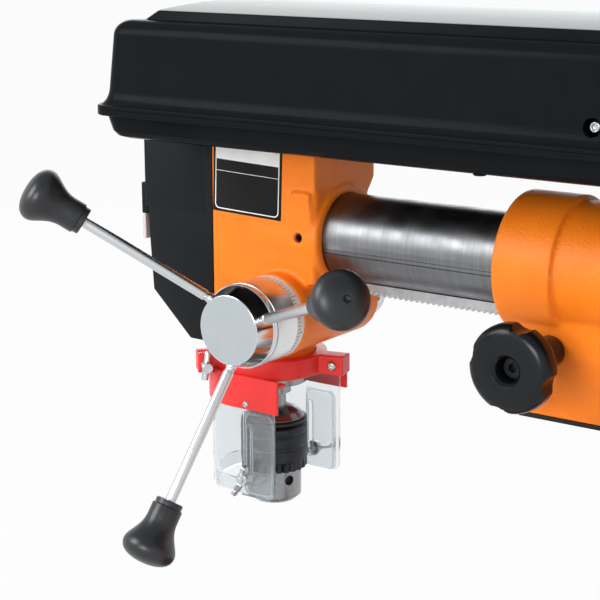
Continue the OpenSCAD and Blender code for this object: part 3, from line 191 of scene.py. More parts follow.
def wire(tree, node, inputs):
    """Sets or links a shader node's inputs, by name or number."""
    for key, value in inputs.items():
        if isinstance(value, bpy.types.NodeSocket):
            tree.links.new(value, node.inputs[key])
        else:
            node.inputs[key].default_value = value
    return node


def added(tree, kind, inputs):
    """A new shader node with its inputs set or linked."""
    return wire(tree, tree.nodes.new("ShaderNode" + kind), inputs)


def noise(tree, scale, detail=3.0, stretch=None, rough=0.55):
    """Noise in the piece's own metres, scaled per metre, and stretched where asked."""
    vector = tree.nodes.new("ShaderNodeTexCoord").outputs["Object"]
    if stretch:
        vector = added(tree, "Mapping", {"Scale": stretch, "Vector": vector}).outputs["Vector"]
    inputs = {"Scale": scale, "Detail": detail, "Roughness": rough, "Vector": vector}
    return added(tree, "TexNoise", inputs).outputs["Fac"]


def ranged(tree, value, low, high):
    """The middle of a noise field spread from low to high."""
    inputs = {"Value": value, "From Min": 0.3, "From Max": 0.7, "To Min": low, "To Max": high}
    return added(tree, "MapRange", inputs).outputs["Result"]


def tinted(tree, value, dark, light, start=0.3, end=0.7):
    """A colour between two tints, led by a value."""
    ramp = added(tree, "ValToRGB", {"Fac": value})
    for stop, position, tint in zip(ramp.color_ramp.elements, (start, end), (dark, light)):
        stop.position = position
        stop.color = (*tint, 1)
    return ramp.outputs["Color"]


def raised(tree, base, fields):
    """Bump from several noise fields, each with its strength and its height in metres."""
    last = {}
    for value, strength, height in fields:
        inputs = {"Strength": strength, "Distance": height, "Height": value, **last}
        last = {"Normal": added(tree, "Bump", inputs).outputs["Normal"]}
    wire(tree, base, last)


def shade(colour, factor):
    """A colour made lighter or darker."""
    return tuple(min(1.0, c * factor) for c in colour)


def paint(name, colour, rough, peel, cast, spread=0.06, gloss=0.5, grain=420.0, uneven=0.06):
    """Enamel with the fine peel of spraying over the slow swell of a casting."""
    mat, tree, base = shader(name)
    slow = noise(tree, 38.0, 2.0)
    fine = noise(tree, grain)
    wire(tree, base, {
        "Specular IOR Level": gloss,
        "Base Color": tinted(tree, slow, shade(colour, 1 - spread), shade(colour, 1 + spread)),
        "Roughness": ranged(tree, fine, rough - uneven, rough + uneven),
    })
    raised(tree, base, [(fine, peel, 0.0006), (slow, cast, 0.002)])
    return mat


def moulded(name, colour, rough, grain, size=900.0, gloss=0.5):
    """Moulded plastic with a fine spark-eroded grain."""
    mat, tree, base = shader(name)
    fine = noise(tree, size, 2.0)
    slow = noise(tree, 30.0, 2.0)
    wire(tree, base, {
        "Specular IOR Level": gloss,
        "Base Color": tinted(tree, slow, shade(colour, 0.92), shade(colour, 1.08)),
        "Roughness": ranged(tree, slow, rough - 0.04, rough + 0.05),
    })
    raised(tree, base, [(fine, grain, 0.0003)])
    return mat


def metal(name, dark, light, rough, stretch, marks, spread=0.08):
    """Metal with tool marks of a strength, drawn out along a direction, and an uneven sheen."""
    mat, tree, base = shader(name)
    lines = noise(tree, 1.0, 4.0, stretch, 0.6)
    cloud = noise(tree, 60.0)
    wire(tree, base, {
        "Metallic": 1.0,
        "Base Color": tinted(tree, lines, dark, light),
        "Roughness": ranged(tree, cloud, rough - spread, rough + spread),
    })
    raised(tree, base, [(lines, marks, 0.0001)])
    return mat


def clear_plastic(name, tint, clear=0.94):
    """Clear sheet, faintly cool in its thickness."""
    mat, tree, base = shader(name)
    slow = noise(tree, 24.0, 2.0)
    wire(tree, base, {
        "Base Color": (*tint, 1),
        "Transmission Weight": clear,
        "IOR": 1.26,
        "Roughness": ranged(tree, slow, 0.02, 0.05),
    })
    return mat


def enamels(tints):
    """Paints, led by the paint settings."""
    black = tuple(tints.cover_black)
    return {
        "orange": paint("orange_enamel", tuple(tints.orange), 0.4, 0.75, 0.12, gloss=0.3, grain=560.0),
        "cover": paint("cover_enamel", black, 0.2, 0.001, 0.003, gloss=0.018, uneven=0.006),
        "red": paint("guard_red", tuple(tints.guard_red), 0.34, 0.05, 0.05, spread=0.03, gloss=0.35),
        "black": paint("black_enamel", black, 0.36, 0.12, 0.08, gloss=0.25),
        "plate": paint("bare_plate", (0.007, 0.007, 0.008), 0.42, 0.02, 0.01, gloss=0.15),
    }


def plastics(tints):
    """Knobs, switch, buttons, print, belt and clear sheet."""
    black = tuple(tints.plastic_black)
    return {
        "knob": moulded("moulded_knob", black, 0.37, 0.04, gloss=0.52),
        "grip": moulded("hand_grip", shade(black, 0.5), 0.25, 0.02, gloss=0.24),
        "switch": moulded("switch_plastic", shade(black, 0.46), 0.42, 0.14, 1300.0, gloss=0.15),
        "white": moulded("white_print", (0.86, 0.86, 0.84), 0.45, 0.02),
        "pale": moulded("pale_plastic", (0.78, 0.66, 0.64), 0.4, 0.02),
        "blue": moulded("scale_marks", (0.06, 0.12, 0.30), 0.5, 0.02),
        "green_button": moulded("green_button", (0.02, 0.24, 0.06), 0.35, 0.03),
        "red_button": moulded("red_button", (0.62, 0.02, 0.02), 0.35, 0.03),
        "rubber": moulded("belt_rubber", (0.016, 0.016, 0.017), 0.7, 0.3, 500.0, gloss=0.2),
        "clear": clear_plastic("clear_sheet", (0.885, 0.91, 0.925)),
        "bead": clear_plastic("clear_bead", (0.80, 0.84, 0.88), 1.0),
    }


def metals():
    """Blackened, plated, turned, ground, cut and cast metals."""
    plain, even = (60, 60, 60), (90, 90, 90)
    upright = (90, 90, 700)
    return {
        "chuck": metal(
            "blackened_steel", (0.030, 0.033, 0.038), (0.046, 0.050, 0.057), 0.4, (40, 40, 900), 0.03),
        "chrome": metal("chrome", (0.60, 0.62, 0.64), (0.64, 0.66, 0.68), 0.13, plain, 0.008, 0.03),
        "hub": metal("satin_chrome", (0.525, 0.575, 0.605), (0.55, 0.60, 0.63), 0.3, even, 0.0, 0.01),
        "ring": metal("satin_ring", (0.68, 0.69, 0.70), (0.73, 0.74, 0.75), 0.32, even, 0.0, 0.02),
        "rod": metal("bright_rod", (0.60, 0.62, 0.635), (0.64, 0.66, 0.675), 0.3, plain, 0.0, 0.01),
        "zinc": metal("zinc_plate", (0.50, 0.52, 0.53), (0.64, 0.65, 0.66), 0.22, (120, 120, 120), 0.06),
        "steel": metal("bright_steel", (0.48, 0.488, 0.496), (0.588, 0.5978, 0.6076), 0.24, upright, 0.06),
        "dull": metal("turned_steel", (0.255, 0.262, 0.268), (0.33, 0.338, 0.345), 0.25, upright, 0.04),
        "tube": metal(
            "ground_tube", (0.180, 0.186, 0.194), (0.222, 0.229, 0.238), 0.37, (10, 520, 10), 0.02),
        "column": metal("ground_column", (0.37, 0.375, 0.38), (0.41, 0.415, 0.42), 0.33, (6, 6, 260), 0.01),
        "rack": metal("rack_steel", (0.42, 0.43, 0.44), (0.56, 0.57, 0.58), 0.36, (80, 80, 80), 0.1),
        "iron": metal(
            "machined_iron", (0.20, 0.20, 0.205), (0.30, 0.30, 0.305), 0.42, (300, 300, 40), 0.04),
        "alloy": metal("turned_alloy", (0.60, 0.60, 0.61), (0.72, 0.72, 0.73), 0.30, (60, 60, 900), 0.12),
        "scribe": metal("scribed_line", (0.05, 0.05, 0.05), (0.09, 0.088, 0.085), 0.4, plain, 0.12),
    }


FINISHES = {}


def finish(name):
    """A finish by name; all are made once, from the paint settings."""
    if not FINISHES:
        tints = bpy.context.scene.drill_paint
        for family in (enamels(tints), plastics(tints), metals()):
            FINISHES.update(family)
    return FINISHES[name]


# Forms


def dress(name, *nodes):
    """Gives a finish to frame nodes that keep their own shape."""
    for node in nodes:
        obj = frame["nodes"][node]
        if not obj.material_slots:
            obj.data.materials.append(finish(name))
        for slot in obj.material_slots:
            slot.material = finish(name)


def settle(name, mesh, body, look, replaces=(), slot=None, angle=32.0):
    """Links a mesh as a piece that rides on a body, with its finish, and hides the frame nodes it replaces.
    """
    if not mesh.polygons:
        raise RuntimeError(name + " has no faces")
    mesh.shade_smooth()
    mesh.set_sharp_from_angle(angle=math.radians(angle))
    obj = bpy.data.objects.new(name, mesh)
    bpy.context.scene.collection.objects.link(obj)
    obj.data.materials.clear()
    obj.data.materials.append(finish(look))
    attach(obj, body)
    if replaces:
        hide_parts(*replaces)
        slot = slot or slot_of(replaces[0])
    return obj


def to_mesh(bm, name):
    """Closes a bmesh into a mesh with its normals outward."""
    bmesh.ops.recalc_face_normals(bm, faces=bm.faces)
    mesh = bpy.data.meshes.new(name)
    bm.to_mesh(mesh)
    bm.free()
    return mesh


def formed(name, bm, body, look, replaces=(), **more):
    """Closes a form into a mesh and settles it as a piece."""
    return settle(name, to_mesh(bm, name), body, look, replaces, **more)


def softened(points, steps=4, closed=False):
    """A line of (a, b) or (a, b, radius) points with its corners rounded by their radii."""
    points = [(*point, 0)[:3] for point in points]
    out = []
    count = len(points)
    for i, (a, b, radius) in enumerate(points):
        here = Vector((a, b))
        if radius <= 0 or (not closed and i in (0, count - 1)):
            out.append((a, b))
            continue
        before = Vector(points[i - 1][:2]) - here
        after = Vector(points[(i + 1) % count][:2]) - here
        half = before.angle(after) / 2
        if half > math.pi / 2 - 0.01:
            out.append((a, b))
            continue
        cut = min(radius / math.tan(half), 0.49 * before.length, 0.49 * after.length)
        start = here + before.normalized() * cut
        end = here + after.normalized() * cut
        inward = (before.normalized() + after.normalized()).normalized()
        middle = here + inward * (cut / math.cos(half))
        from_middle, to_end = start - middle, end - middle
        sweep = from_middle.angle(to_end)
        for k in range(steps + 1):
            t = k / steps
            arm = (from_middle * math.sin((1 - t) * sweep) + to_end * math.sin(t * sweep)) / math.sin(sweep)
            out.append(tuple(middle + arm))
    return out


def oblong(left, right, low, top, low_r=0.0, top_r=0.0, steps=4):
    """Outline of an oblong with its lower and upper corners rounded."""
    corners = [(left, low, low_r), (right, low, low_r), (right, top, top_r), (left, top, top_r)]
    return softened(corners, steps, True)


def bridge(bm, low, high):
    """Faces between two rings, either of which may be a single point."""
    count = max(len(low), len(high))
    for i in range(count):
        j = (i + 1) % count
        corners = []
        for vert in (low[i % len(low)], low[j % len(low)], high[j % len(high)], high[i % len(high)]):
            if vert not in corners:
                corners.append(vert)
        if len(corners) > 2:
            bm.faces.new(corners)


def revolve(profile, turns, matrix, bm=None, closed=False, dent=None):
    """A turned form from (radius, height) points about +Z, cut in by a dent's depth where given."""
    bm = bm or bmesh.new()
    rings = []
    for radius, height in profile:
        if radius < 1e-6:
            rings.append([bm.verts.new(matrix @ Vector((0, 0, height)))])
            continue
        ring = []
        for i in range(turns):
            a = 2 * math.pi * i / turns
            here = radius - dent(radius, height, a) if dent else radius
            ring.append(bm.verts.new(matrix @ Vector((here * math.cos(a), here * math.sin(a), height))))
        rings.append(ring)
    for low, high in zip(rings, rings[1:]):
        bridge(bm, low, high)
    if closed:
        bridge(bm, rings[-1], rings[0])
    return bm


def turned(name, points, origin, axis, body, look, replaces=(), closed=False, turns=128, **more):
    """A turned piece from softened points, set along an axis."""
    line = softened(points, closed=closed)
    bm = revolve(line, turns, turn_to(origin, axis), closed=closed)
    return formed(name, bm, body, look, replaces, **more)


def loft(bm, rings, ends=True):
    """Skins rings of points; the first and last are closed flat where asked."""
    made = [[bm.verts.new(p) for p in ring] for ring in rings]
    for low, high in zip(made, made[1:]):
        bridge(bm, low, high)
    if ends:
        bm.faces.new(made[0])
        bm.faces.new(made[-1])
    return made


def ease(bm, width, segments=3, angle=28.0):
    """Rounds the hard edges of a form."""
    bmesh.ops.recalc_face_normals(bm, faces=bm.faces)
    hard = [e for e in bm.edges if len(e.link_faces) == 2 and e.calc_face_angle(0) > math.radians(angle)]
    bmesh.ops.bevel(bm, geom=hard, offset=width, segments=segments, profile=0.5, affect="EDGES",
                    clamp_overlap=True)


def prism(bm, outline, low, high, matrix):
    """A straight form from an outline in its own XY, between two heights."""
    loft(bm, [[matrix @ Vector((a, b, h)) for a, b in outline] for h in (low, high)])


def box_form(bm, low, high):
    """A box between two corners."""
    scale = Matrix.Diagonal((*(high - low), 1))
    bmesh.ops.create_cube(bm, size=1.0, matrix=Matrix.Translation((high + low) / 2) @ scale)


# Sets a side view drawn as (y, z) upright across X
SIDE_VIEW = Matrix(((0, 0, 1, 0), (1, 0, 0, 0), (0, 1, 0, 0), (0, 0, 0, 1)))


def baked(obj):
    """Replaces a piece's mesh with what its modifiers make of it."""
    bpy.context.view_layer.update()
    shaped = obj.evaluated_get(bpy.context.evaluated_depsgraph_get())
    mesh = bpy.data.meshes.new_from_object(shaped)
    obj.modifiers.clear()
    obj.data = mesh
    return mesh


def node_mesh(node, name):
    """A welded copy of a node's mesh."""
    bm = bmesh.new()
    bm.from_mesh(frame["nodes"][node].data)
    bmesh.ops.remove_doubles(bm, verts=bm.verts, dist=2e-6)
    mesh = bpy.data.meshes.new(name)
    bm.to_mesh(mesh)
    bm.free()
    mesh.materials.clear()
    return mesh


def soft_casting(node, name, look, voxel, passes):
    """A node as a sand casting: its corners run round and its inner corners are filled."""
    obj = bpy.data.objects.new(name + "_form", node_mesh(node, name))
    bpy.context.scene.collection.objects.link(obj)
    cast = obj.modifiers.new("cast", "REMESH")
    cast.mode = "VOXEL"
    cast.voxel_size = voxel
    ease_off = obj.modifiers.new("ease", "SMOOTH")
    ease_off.factor = 0.5
    ease_off.iterations = passes
    mesh = baked(obj)
    bpy.data.objects.remove(obj)
    mesh.name = name
    return settle(name, mesh, body_of(node), look, (node,), angle=180.0)


def crisp(node, name, look, width, segments=2):
    """A node with its machined or moulded edges broken."""
    bm = bmesh.new()
    bm.from_mesh(node_mesh(node, name))
    bmesh.ops.dissolve_limit(bm, angle_limit=math.radians(0.6), verts=bm.verts, edges=bm.edges)
    ease(bm, width, segments, 32.0)
    return formed(name, bm, body_of(node), look, (node,), angle=40.0)


def cut_with(obj, cutter_bm):
    """Takes a cutter out of a piece."""
    cutter = bpy.data.objects.new("cutter", to_mesh(cutter_bm, "cutter"))
    bpy.context.scene.collection.objects.link(cutter)
    cut = obj.modifiers.new("cut", "BOOLEAN")
    cut.operation = "DIFFERENCE"
    cut.solver = "EXACT"
    cut.object = cutter
    mesh = baked(obj)
    bpy.data.objects.remove(cutter)
    mesh.shade_smooth()
    mesh.set_sharp_from_angle(angle=math.radians(32))


def rod(bm, start, end, radius):
    """A plain round bar between two places, radius in millimetres."""
    along = end - start
    length = along.length / MM
    edge = min(0.4, radius * 0.2)
    line = [(0, 0), (radius - edge, 0), (radius, edge)]
    line += [(radius, length - edge), (radius - edge, length), (0, length)]
    revolve(line, 24, bm=bm, matrix=turn_to(start, along))


def joined(bm, other):
    """Adds one form to another."""
    part = bpy.data.meshes.new("part")
    other.to_mesh(part)
    other.free()
    bm.from_mesh(part)
    bpy.data.meshes.remove(part)


def bead(bm, path, radius, sides=8):
    """A round bead along a closed path, radius in millimetres."""
    rings = []
    count = len(path)
    for i, here in enumerate(path):
        along = (path[(i + 1) % count] - path[i - 1]).normalized()
        across = along.cross(X_AXIS)
        rings.append([here + (X_AXIS * math.cos(a) + across * math.sin(a)) * radius * MM
                      for a in (2 * math.pi * k / sides for k in range(sides))])
    made = loft(bm, rings, ends=False)
    bridge(bm, made[-1], made[0])


# Castings


class DRILL_OT_castings(bpy.types.Operator):
    """Head, support, base, table arm, column flange and rack collar as painted castings"""

    bl_idname = "drill.castings"
    bl_label = "Painted castings"

    def execute(self, context):
        grain = context.scene.drill_sizes.cast_grain
        soft_casting("head", "head_casting", "orange", grain * 0.85, 4)
        soft_casting("support", "support_casting", "orange", grain * 0.9, 2)
        soft_casting("base", "base_casting", "orange", grain * 1.5, 4)
        soft_casting("table_arm", "table_arm_casting", "orange", grain * 1.3, 4)
        soft_casting("column_flange", "column_flange_casting", "orange", grain * 1.2, 4)
        soft_casting("rack_collar", "rack_collar_casting", "orange", grain * 1.1, 2)
        crisp("pinion_cover", "pinion_cover_plate", "black", 0.0004)
        dress("black", "collar_screw")
        return {"FINISHED"}


# Belt cover

COVER_HALF = 118.0
COVER_FRONT = -151.0
COVER_REAR = 675.0
COVER_R = 18.0
CROWN_R = 971.4
CROWN_TOP = 172.8
PANEL_EDGE_Z = 168.3
TRAY_FLOOR = 75.5
COVER_WALL = 2.4
LID_SCREW_Y = 252.0
LID_SCREW_Z = 112.3


def cover_ring(inset, ends, z, crown):
    """One level of the cover: a rounded plan, drawn in, and lifted by the panel's crown."""
    half = COVER_HALF - inset
    front = COVER_FRONT + inset + ends
    rear = COVER_REAR - inset - ends
    radius = min(max(COVER_R - inset * 0.5, 6), half - 0.5)
    steps, along, across = 14, 8, 10
    right, near, far = half - radius, front + radius, rear - radius
    arcs = []
    for x, y, start in ((right, near, -90), (right, far, 0), (-right, far, 90), (-right, near, 180)):
        turns = [math.radians(start + 90 * k / steps) for k in range(steps + 1)]
        arcs.append([(x + radius * math.cos(a), y + radius * math.sin(a)) for a in turns])
    ring = []
    for i, arc in enumerate(arcs):
        (x, y), (next_x, next_y) = arc[-1], arcs[(i + 1) % 4][0]
        parts = across if i % 2 else along
        ring += arc
        ring += [(x + (next_x - x) * k / parts, y + (next_y - y) * k / parts) for k in range(1, parts)]
    return [at(x, y, z + crown * (CROWN_TOP - x * x / (2 * CROWN_R) - PANEL_EDGE_Z)) for x, y in ring]


def cover_form(outside, inside):
    """A thin shell between its outer and inner levels, closed at the rim and at the middle."""
    bm = bmesh.new()
    outer = loft(bm, [cover_ring(*level) for level in outside], ends=False)
    inner = loft(bm, [cover_ring(*level) for level in inside], ends=False)
    bm.faces.new(outer[-1])
    bm.faces.new(inner[-1])
    bridge(bm, outer[0], inner[0])
    return bm


def level_line(points, steps=5):
    """Softened levels from (inset, z, radius, ends, crown) points, the last three nought if not given."""
    points = [(*point, 0, 0, 0)[:5] for point in points]
    out = []
    for inset, z in softened([point[:3] for point in points], steps):
        index = 0
        while index < len(points) - 2 and inset > points[index + 1][0] + 1e-6:
            index += 1
        a, b = points[index], points[index + 1]
        span = max(abs(b[0] - a[0]), 1e-6)
        t = min(max((inset - a[0]) / span, 0), 1)
        out.append((inset, a[3] + (b[3] - a[3]) * t, z, a[4] + (b[4] - a[4]) * t))
    return out


def shoulder(inset, z, radius, steps=8):
    """Levels of a quarter round that turns a wall in to a flat top."""
    turns = [math.pi / 2 * k / steps for k in range(steps + 1)]
    return [(inset + radius * (1 - math.cos(a)), z + radius * math.sin(a)) for a in turns]


class DRILL_OT_belt_cover(bpy.types.Operator):
    """Lid, tray, hinges and screws of the belt cover"""

    bl_idname = "drill.belt_cover"
    bl_label = "Belt cover"

    def execute(self, context):
        self.lid()
        self.tray()
        self.hinges()
        self.screws()
        return {"FINISHED"}

    def lid(self):
        """Lid with its flared rim, rounded shoulder, raised crowned panel and screw seat."""
        outside = level_line([
            (0.0, 97.8), (0.001, 100.3, 0.9), (1.3, 100.6, 0.5), (3.1, 101.5), (4.7, 103.0), (6.0, 105.1),
            (6.9, 107.6), (7.6, 111.0), *shoulder(11.0, 149.8, 12.0), (23.5, 161.85, 0, 0.2),
            (24.6, 162.0, 0.8, 9.5), (27.6, PANEL_EDGE_Z, 1.1, 16.5, 1),
            *[(inset, PANEL_EDGE_Z, 0, 16.5, 1) for inset in (32.0, 60.0, 85.0, 112.0)]])
        under = PANEL_EDGE_Z - COVER_WALL
        inside = level_line([
            (7.0 + COVER_WALL, 97.8), *shoulder(11.0 + COVER_WALL, 149.8, 9.6), (27.4, 159.5, 0, 9.5),
            (30.2, under, 0.6, 18, 1), *[(inset, under, 0, 18, 1) for inset in (60.0, 85.0, 112.0)]])
        bm = cover_form(outside, inside)
        boss = turn_to(at(100.5, LID_SCREW_Y, LID_SCREW_Z), X_AXIS)
        revolve([(0, 0), (8.5, 0), (8.5, 9.0), (0, 9.0)], 40, bm=bm, matrix=boss)
        made = formed("belt_cover_lid", bm, "lid", "cover", ("belt_lid",))
        seat = turn_to(at(103.5, LID_SCREW_Y, LID_SCREW_Z), X_AXIS)
        cut_with(made, revolve([(0, 0), (6, 0), (6, 20), (0, 20)], 40, matrix=seat))

    def tray(self):
        """Tray under the lid, with the holes of the two pulley shafts."""
        middle = (40.0, 80.0, 112.0)
        outside = level_line([
            (0.0, 97.5), (0.001, 93.0, 0.9), (6.0, 92.9, 1.6), (9.2, 81.0, 3.0), (12.4, 77.2, 3.0),
            (17.5, TRAY_FLOOR, 2.0), *[(inset, TRAY_FLOOR) for inset in middle]])
        wall, floor = COVER_WALL, TRAY_FLOOR + COVER_WALL
        inside = level_line([
            (5.3 + wall, 97.5), (9.2 + wall, 82.0, 2.0), (12.4 + wall, 79.4, 2.0),
            (17.5 + wall, floor, 1.0), *[(inset, floor) for inset in middle]])
        made = formed("belt_cover_tray", cover_form(outside, inside), "head", "cover", ("belt_tray",))
        holes = bmesh.new()
        for y, radius in ((SPINDLE_Y, 18), (MOTOR_Y, 14)):
            line = [(0, 70), (radius, 70), (radius, 85), (0, 85)]
            revolve(line, 48, bm=holes, matrix=turn_to(at(0, y, 0), Z_AXIS))
        cut_with(made, holes)

    def hinges(self):
        """Leaves and knuckles of the lid's two hinges."""
        bm = bmesh.new()
        for y in (90, 480):
            rod(bm, at(-123, y + 0.4, 97.65), at(-123, y + 22, 97.65), 4.0)
            leaf = bmesh.new()
            box_form(leaf, at(-123, y + 0.4, 98.0), at(-114, y + 22, 100.4))
            ease(leaf, 0.0004)
            joined(bm, leaf)
        formed("lid_hinge_leaves", bm, "lid", "black", slot="black_paint")
        dress("black", "lid_hinges")

    def screws(self):
        """Screw heads under the tray, and the lid's fixing screw."""
        bm = bmesh.new()
        head = softened([(0, 0), (4.8, 0, 0.4), (4.0, 1.3, 0.8), (0, 1.8)], 4)
        for x in (98.0, -98.0):
            for y in (169.0, 420.0):
                revolve(head, 32, bm=bm, matrix=turn_to(at(x, y, TRAY_FLOOR + 0.1), -Z_AXIS))
        formed("tray_screws", bm, "head", "black", slot="black_paint")
        turned("lid_fixing_screw", [
            (0, 0), (4, 0, 0.4), (4, 2.4, 0.7), (3.0, 3, 0.4), (2.2, 3, 0.2), (2.0, 0.8), (0, 0.8)],
            at(103.5, LID_SCREW_Y, LID_SCREW_Z), X_AXIS, "lid", "zinc", ("lid_screw",), turns=40)


# Ram


class DRILL_OT_ram(bpy.types.Operator):
    """Ground ram tube with its scribed lines, and the rack under it"""

    bl_idname = "drill.ram"
    bl_label = "Ram"

    def execute(self, context):
        dress("tube", "ram_tube")
        dress("rack", "ram_rack")
        for k, (turn, width) in enumerate(((-8.0, 0.5), (-13.5, 0.9))):
            bm = bmesh.new()
            rings = []
            for y in (1.0, 453.0):
                ring = []
                for step, lift in ((-1, 0.01), (-0.5, 0.07), (0.5, 0.07), (1, 0.01), (0, -0.2)):
                    a = math.radians(turn) + step * width / 2 / TUBE_R
                    ring.append(at((TUBE_R + lift) * math.cos(a), y, (TUBE_R + lift) * math.sin(a)))
                rings.append(ring)
            loft(bm, rings)
            name = "ram_line_%d" % (k + 1)
            formed(name, bm, "head", "scribe", slot=slot_of("ram_tube"))
        return {"FINISHED"}


KNOB_R = 30.5
NOTCH_R = 9.0
NOTCH_OUT = KNOB_R + 5


def finger_notch(radius, height, angle):
    """Depth of the finger notches at a place on the ram knob's rim."""
    deep = 0.0
    if radius <= 20:
        return deep
    for turn in (77, 167, 257, 347):
        near = abs((angle - math.radians(turn) + math.pi) % (2 * math.pi) - math.pi)
        gap = math.hypot(radius * math.cos(near) - NOTCH_OUT, radius * math.sin(near))
        if gap < NOTCH_R + 1.2:
            floor = NOTCH_OUT * math.cos(near)
            floor -= math.sqrt(max(NOTCH_R ** 2 - (NOTCH_OUT * math.sin(near)) ** 2, 0))
            deep = max(deep, min(radius - floor, 5.5))
    return deep


class DRILL_OT_ram_knob(bpy.types.Operator):
    """Ram knob with four finger notches on its stem, with its screw and pinion"""

    bl_idname = "drill.ram_knob"
    bl_label = "Ram knob"

    def execute(self, context):
        stem = 42.0
        top = stem + 21.0
        profile = softened([
            (6.0, 0.0), (11.0, 0.0, 0.8), (11.0, stem + 2.0, 3.0), (19.0, stem + 2.4, 4.0),
            (KNOB_R, stem + 3.0, 5.5), (KNOB_R, top - 1.6, 10.5), (16.0, top, 4.0), (11.0, top - 0.3, 0.5),
            (8.8, top - 2.6, 0.4), (8.8, stem + 6.0, 0.6), (2.5, stem + 5.6, 0.3), (2.5, stem - 4.0),
            (6.0, stem - 4.0)], 6)
        matrix = turn_to(at(35.3, PINION_Y, PINION_Z), X_AXIS)
        bm = revolve(profile, 192, matrix, closed=True, dent=finger_notch)
        formed("ram_hand_knob", bm, "ram_drive", "grip", ("ram_knob",), angle=50)
        dress("steel", "ram_pinion")
        dress("black", "knob_screw")
        return {"FINISHED"}


# Switch and plate


class DRILL_OT_switch(bpy.types.Operator):
    """Switch box with its frame, buttons, upper cover and side strips"""

    bl_idname = "drill.switch"
    bl_label = "Switch box"

    def execute(self, context):
        crisp("switch_box", "switch_housing", "switch", 0.0012, segments=3)
        crisp("switch_bezel", "switch_frame", "switch", 0.0008)
        crisp("start_button", "start_key", "green_button", 0.0008)
        crisp("stop_button", "stop_key", "red_button", 0.0008)
        self.block("switch_cover", (-40.3, -165.6, 11.0), (40.3, -104.0, 73.4), "switch", 1.4)
        for side, low, high in (("right", 23.2, 38.5), ("left", -38.5, -23.2)):
            self.block("switch_guard_" + side, (low, -170.6, 5.2), (high, -164.0, 30.2), "switch", 1.0)
            self.block("switch_foot_" + side, (low, -170.4, -15.0), (high, -166.6, 4.4), "pale", 0.7)
        return {"FINISHED"}

    def block(self, name, low, high, look, edge):
        """A moulded block with rounded edges, on the head."""
        bm = bmesh.new()
        box_form(bm, at(*low), at(*high))
        ease(bm, edge * MM, 3)
        formed(name, bm, "head", look, slot="black_plastic")


class DRILL_OT_plate(bpy.types.Operator):
    """Bare plate on the head's side, with its pale band and border"""

    bl_idname = "drill.plate"
    bl_label = "Bare plate"

    def execute(self, context):
        edge = context.scene.drill_sizes.plate_edge / MM
        front, rear, top, low = -95.7, -31.6, 68.5, 14.8
        face = 40.0
        middle = at(0, (front + rear) / 2, (top + low) / 2)
        lean = Matrix.Rotation(math.radians(-2.0), 4, "X")
        drawn = Matrix.Translation(at(0, 0, 0) - middle) @ Matrix.Scale(MM, 4) @ SIDE_VIEW
        matrix = Matrix.Translation(middle) @ lean @ drawn
        sheet = bmesh.new()
        prism(sheet, oblong(front, rear, low, top), face - 0.2, face + 0.5, matrix)
        ease(sheet, 0.00015, 2)
        formed("bare_plate", sheet, "head", "plate", slot="black_paint")

        marks = bmesh.new()
        print_z = face + 0.45
        band_low = top - 13.5
        band = oblong(front + 2.5, rear - 2.5, band_low, top - 1.5, 0.0, 2.5)
        prism(marks, band, print_z, print_z + 0.12, matrix)
        lines = []
        for inset, low_r, top_r in ((0.0, 4.0, 2.5), (edge, 3.4, 2.0)):
            sides = (front + 2.0 + inset, rear - 2.0 - inset, low + 2.0 + inset, top - 1.2 - inset)
            lines.append(oblong(*sides, low_r, top_r, 5))
        outer, inner = lines
        levels = ((outer, print_z), (outer, print_z + 0.1), (inner, print_z + 0.1), (inner, print_z))
        rings = [[matrix @ Vector((a, b, h)) for a, b in line] for line, h in levels]
        made = loft(marks, rings, ends=False)
        bridge(marks, made[-1], made[0])
        rule = band_low - 9.0
        line = oblong(front + 3.0, rear - 3.0, rule, rule + 0.4)
        prism(marks, line, print_z, print_z + 0.1, matrix)
        formed("plate_border", marks, "head", "white", slot="black_paint")
        return {"FINISHED"}


# Feed


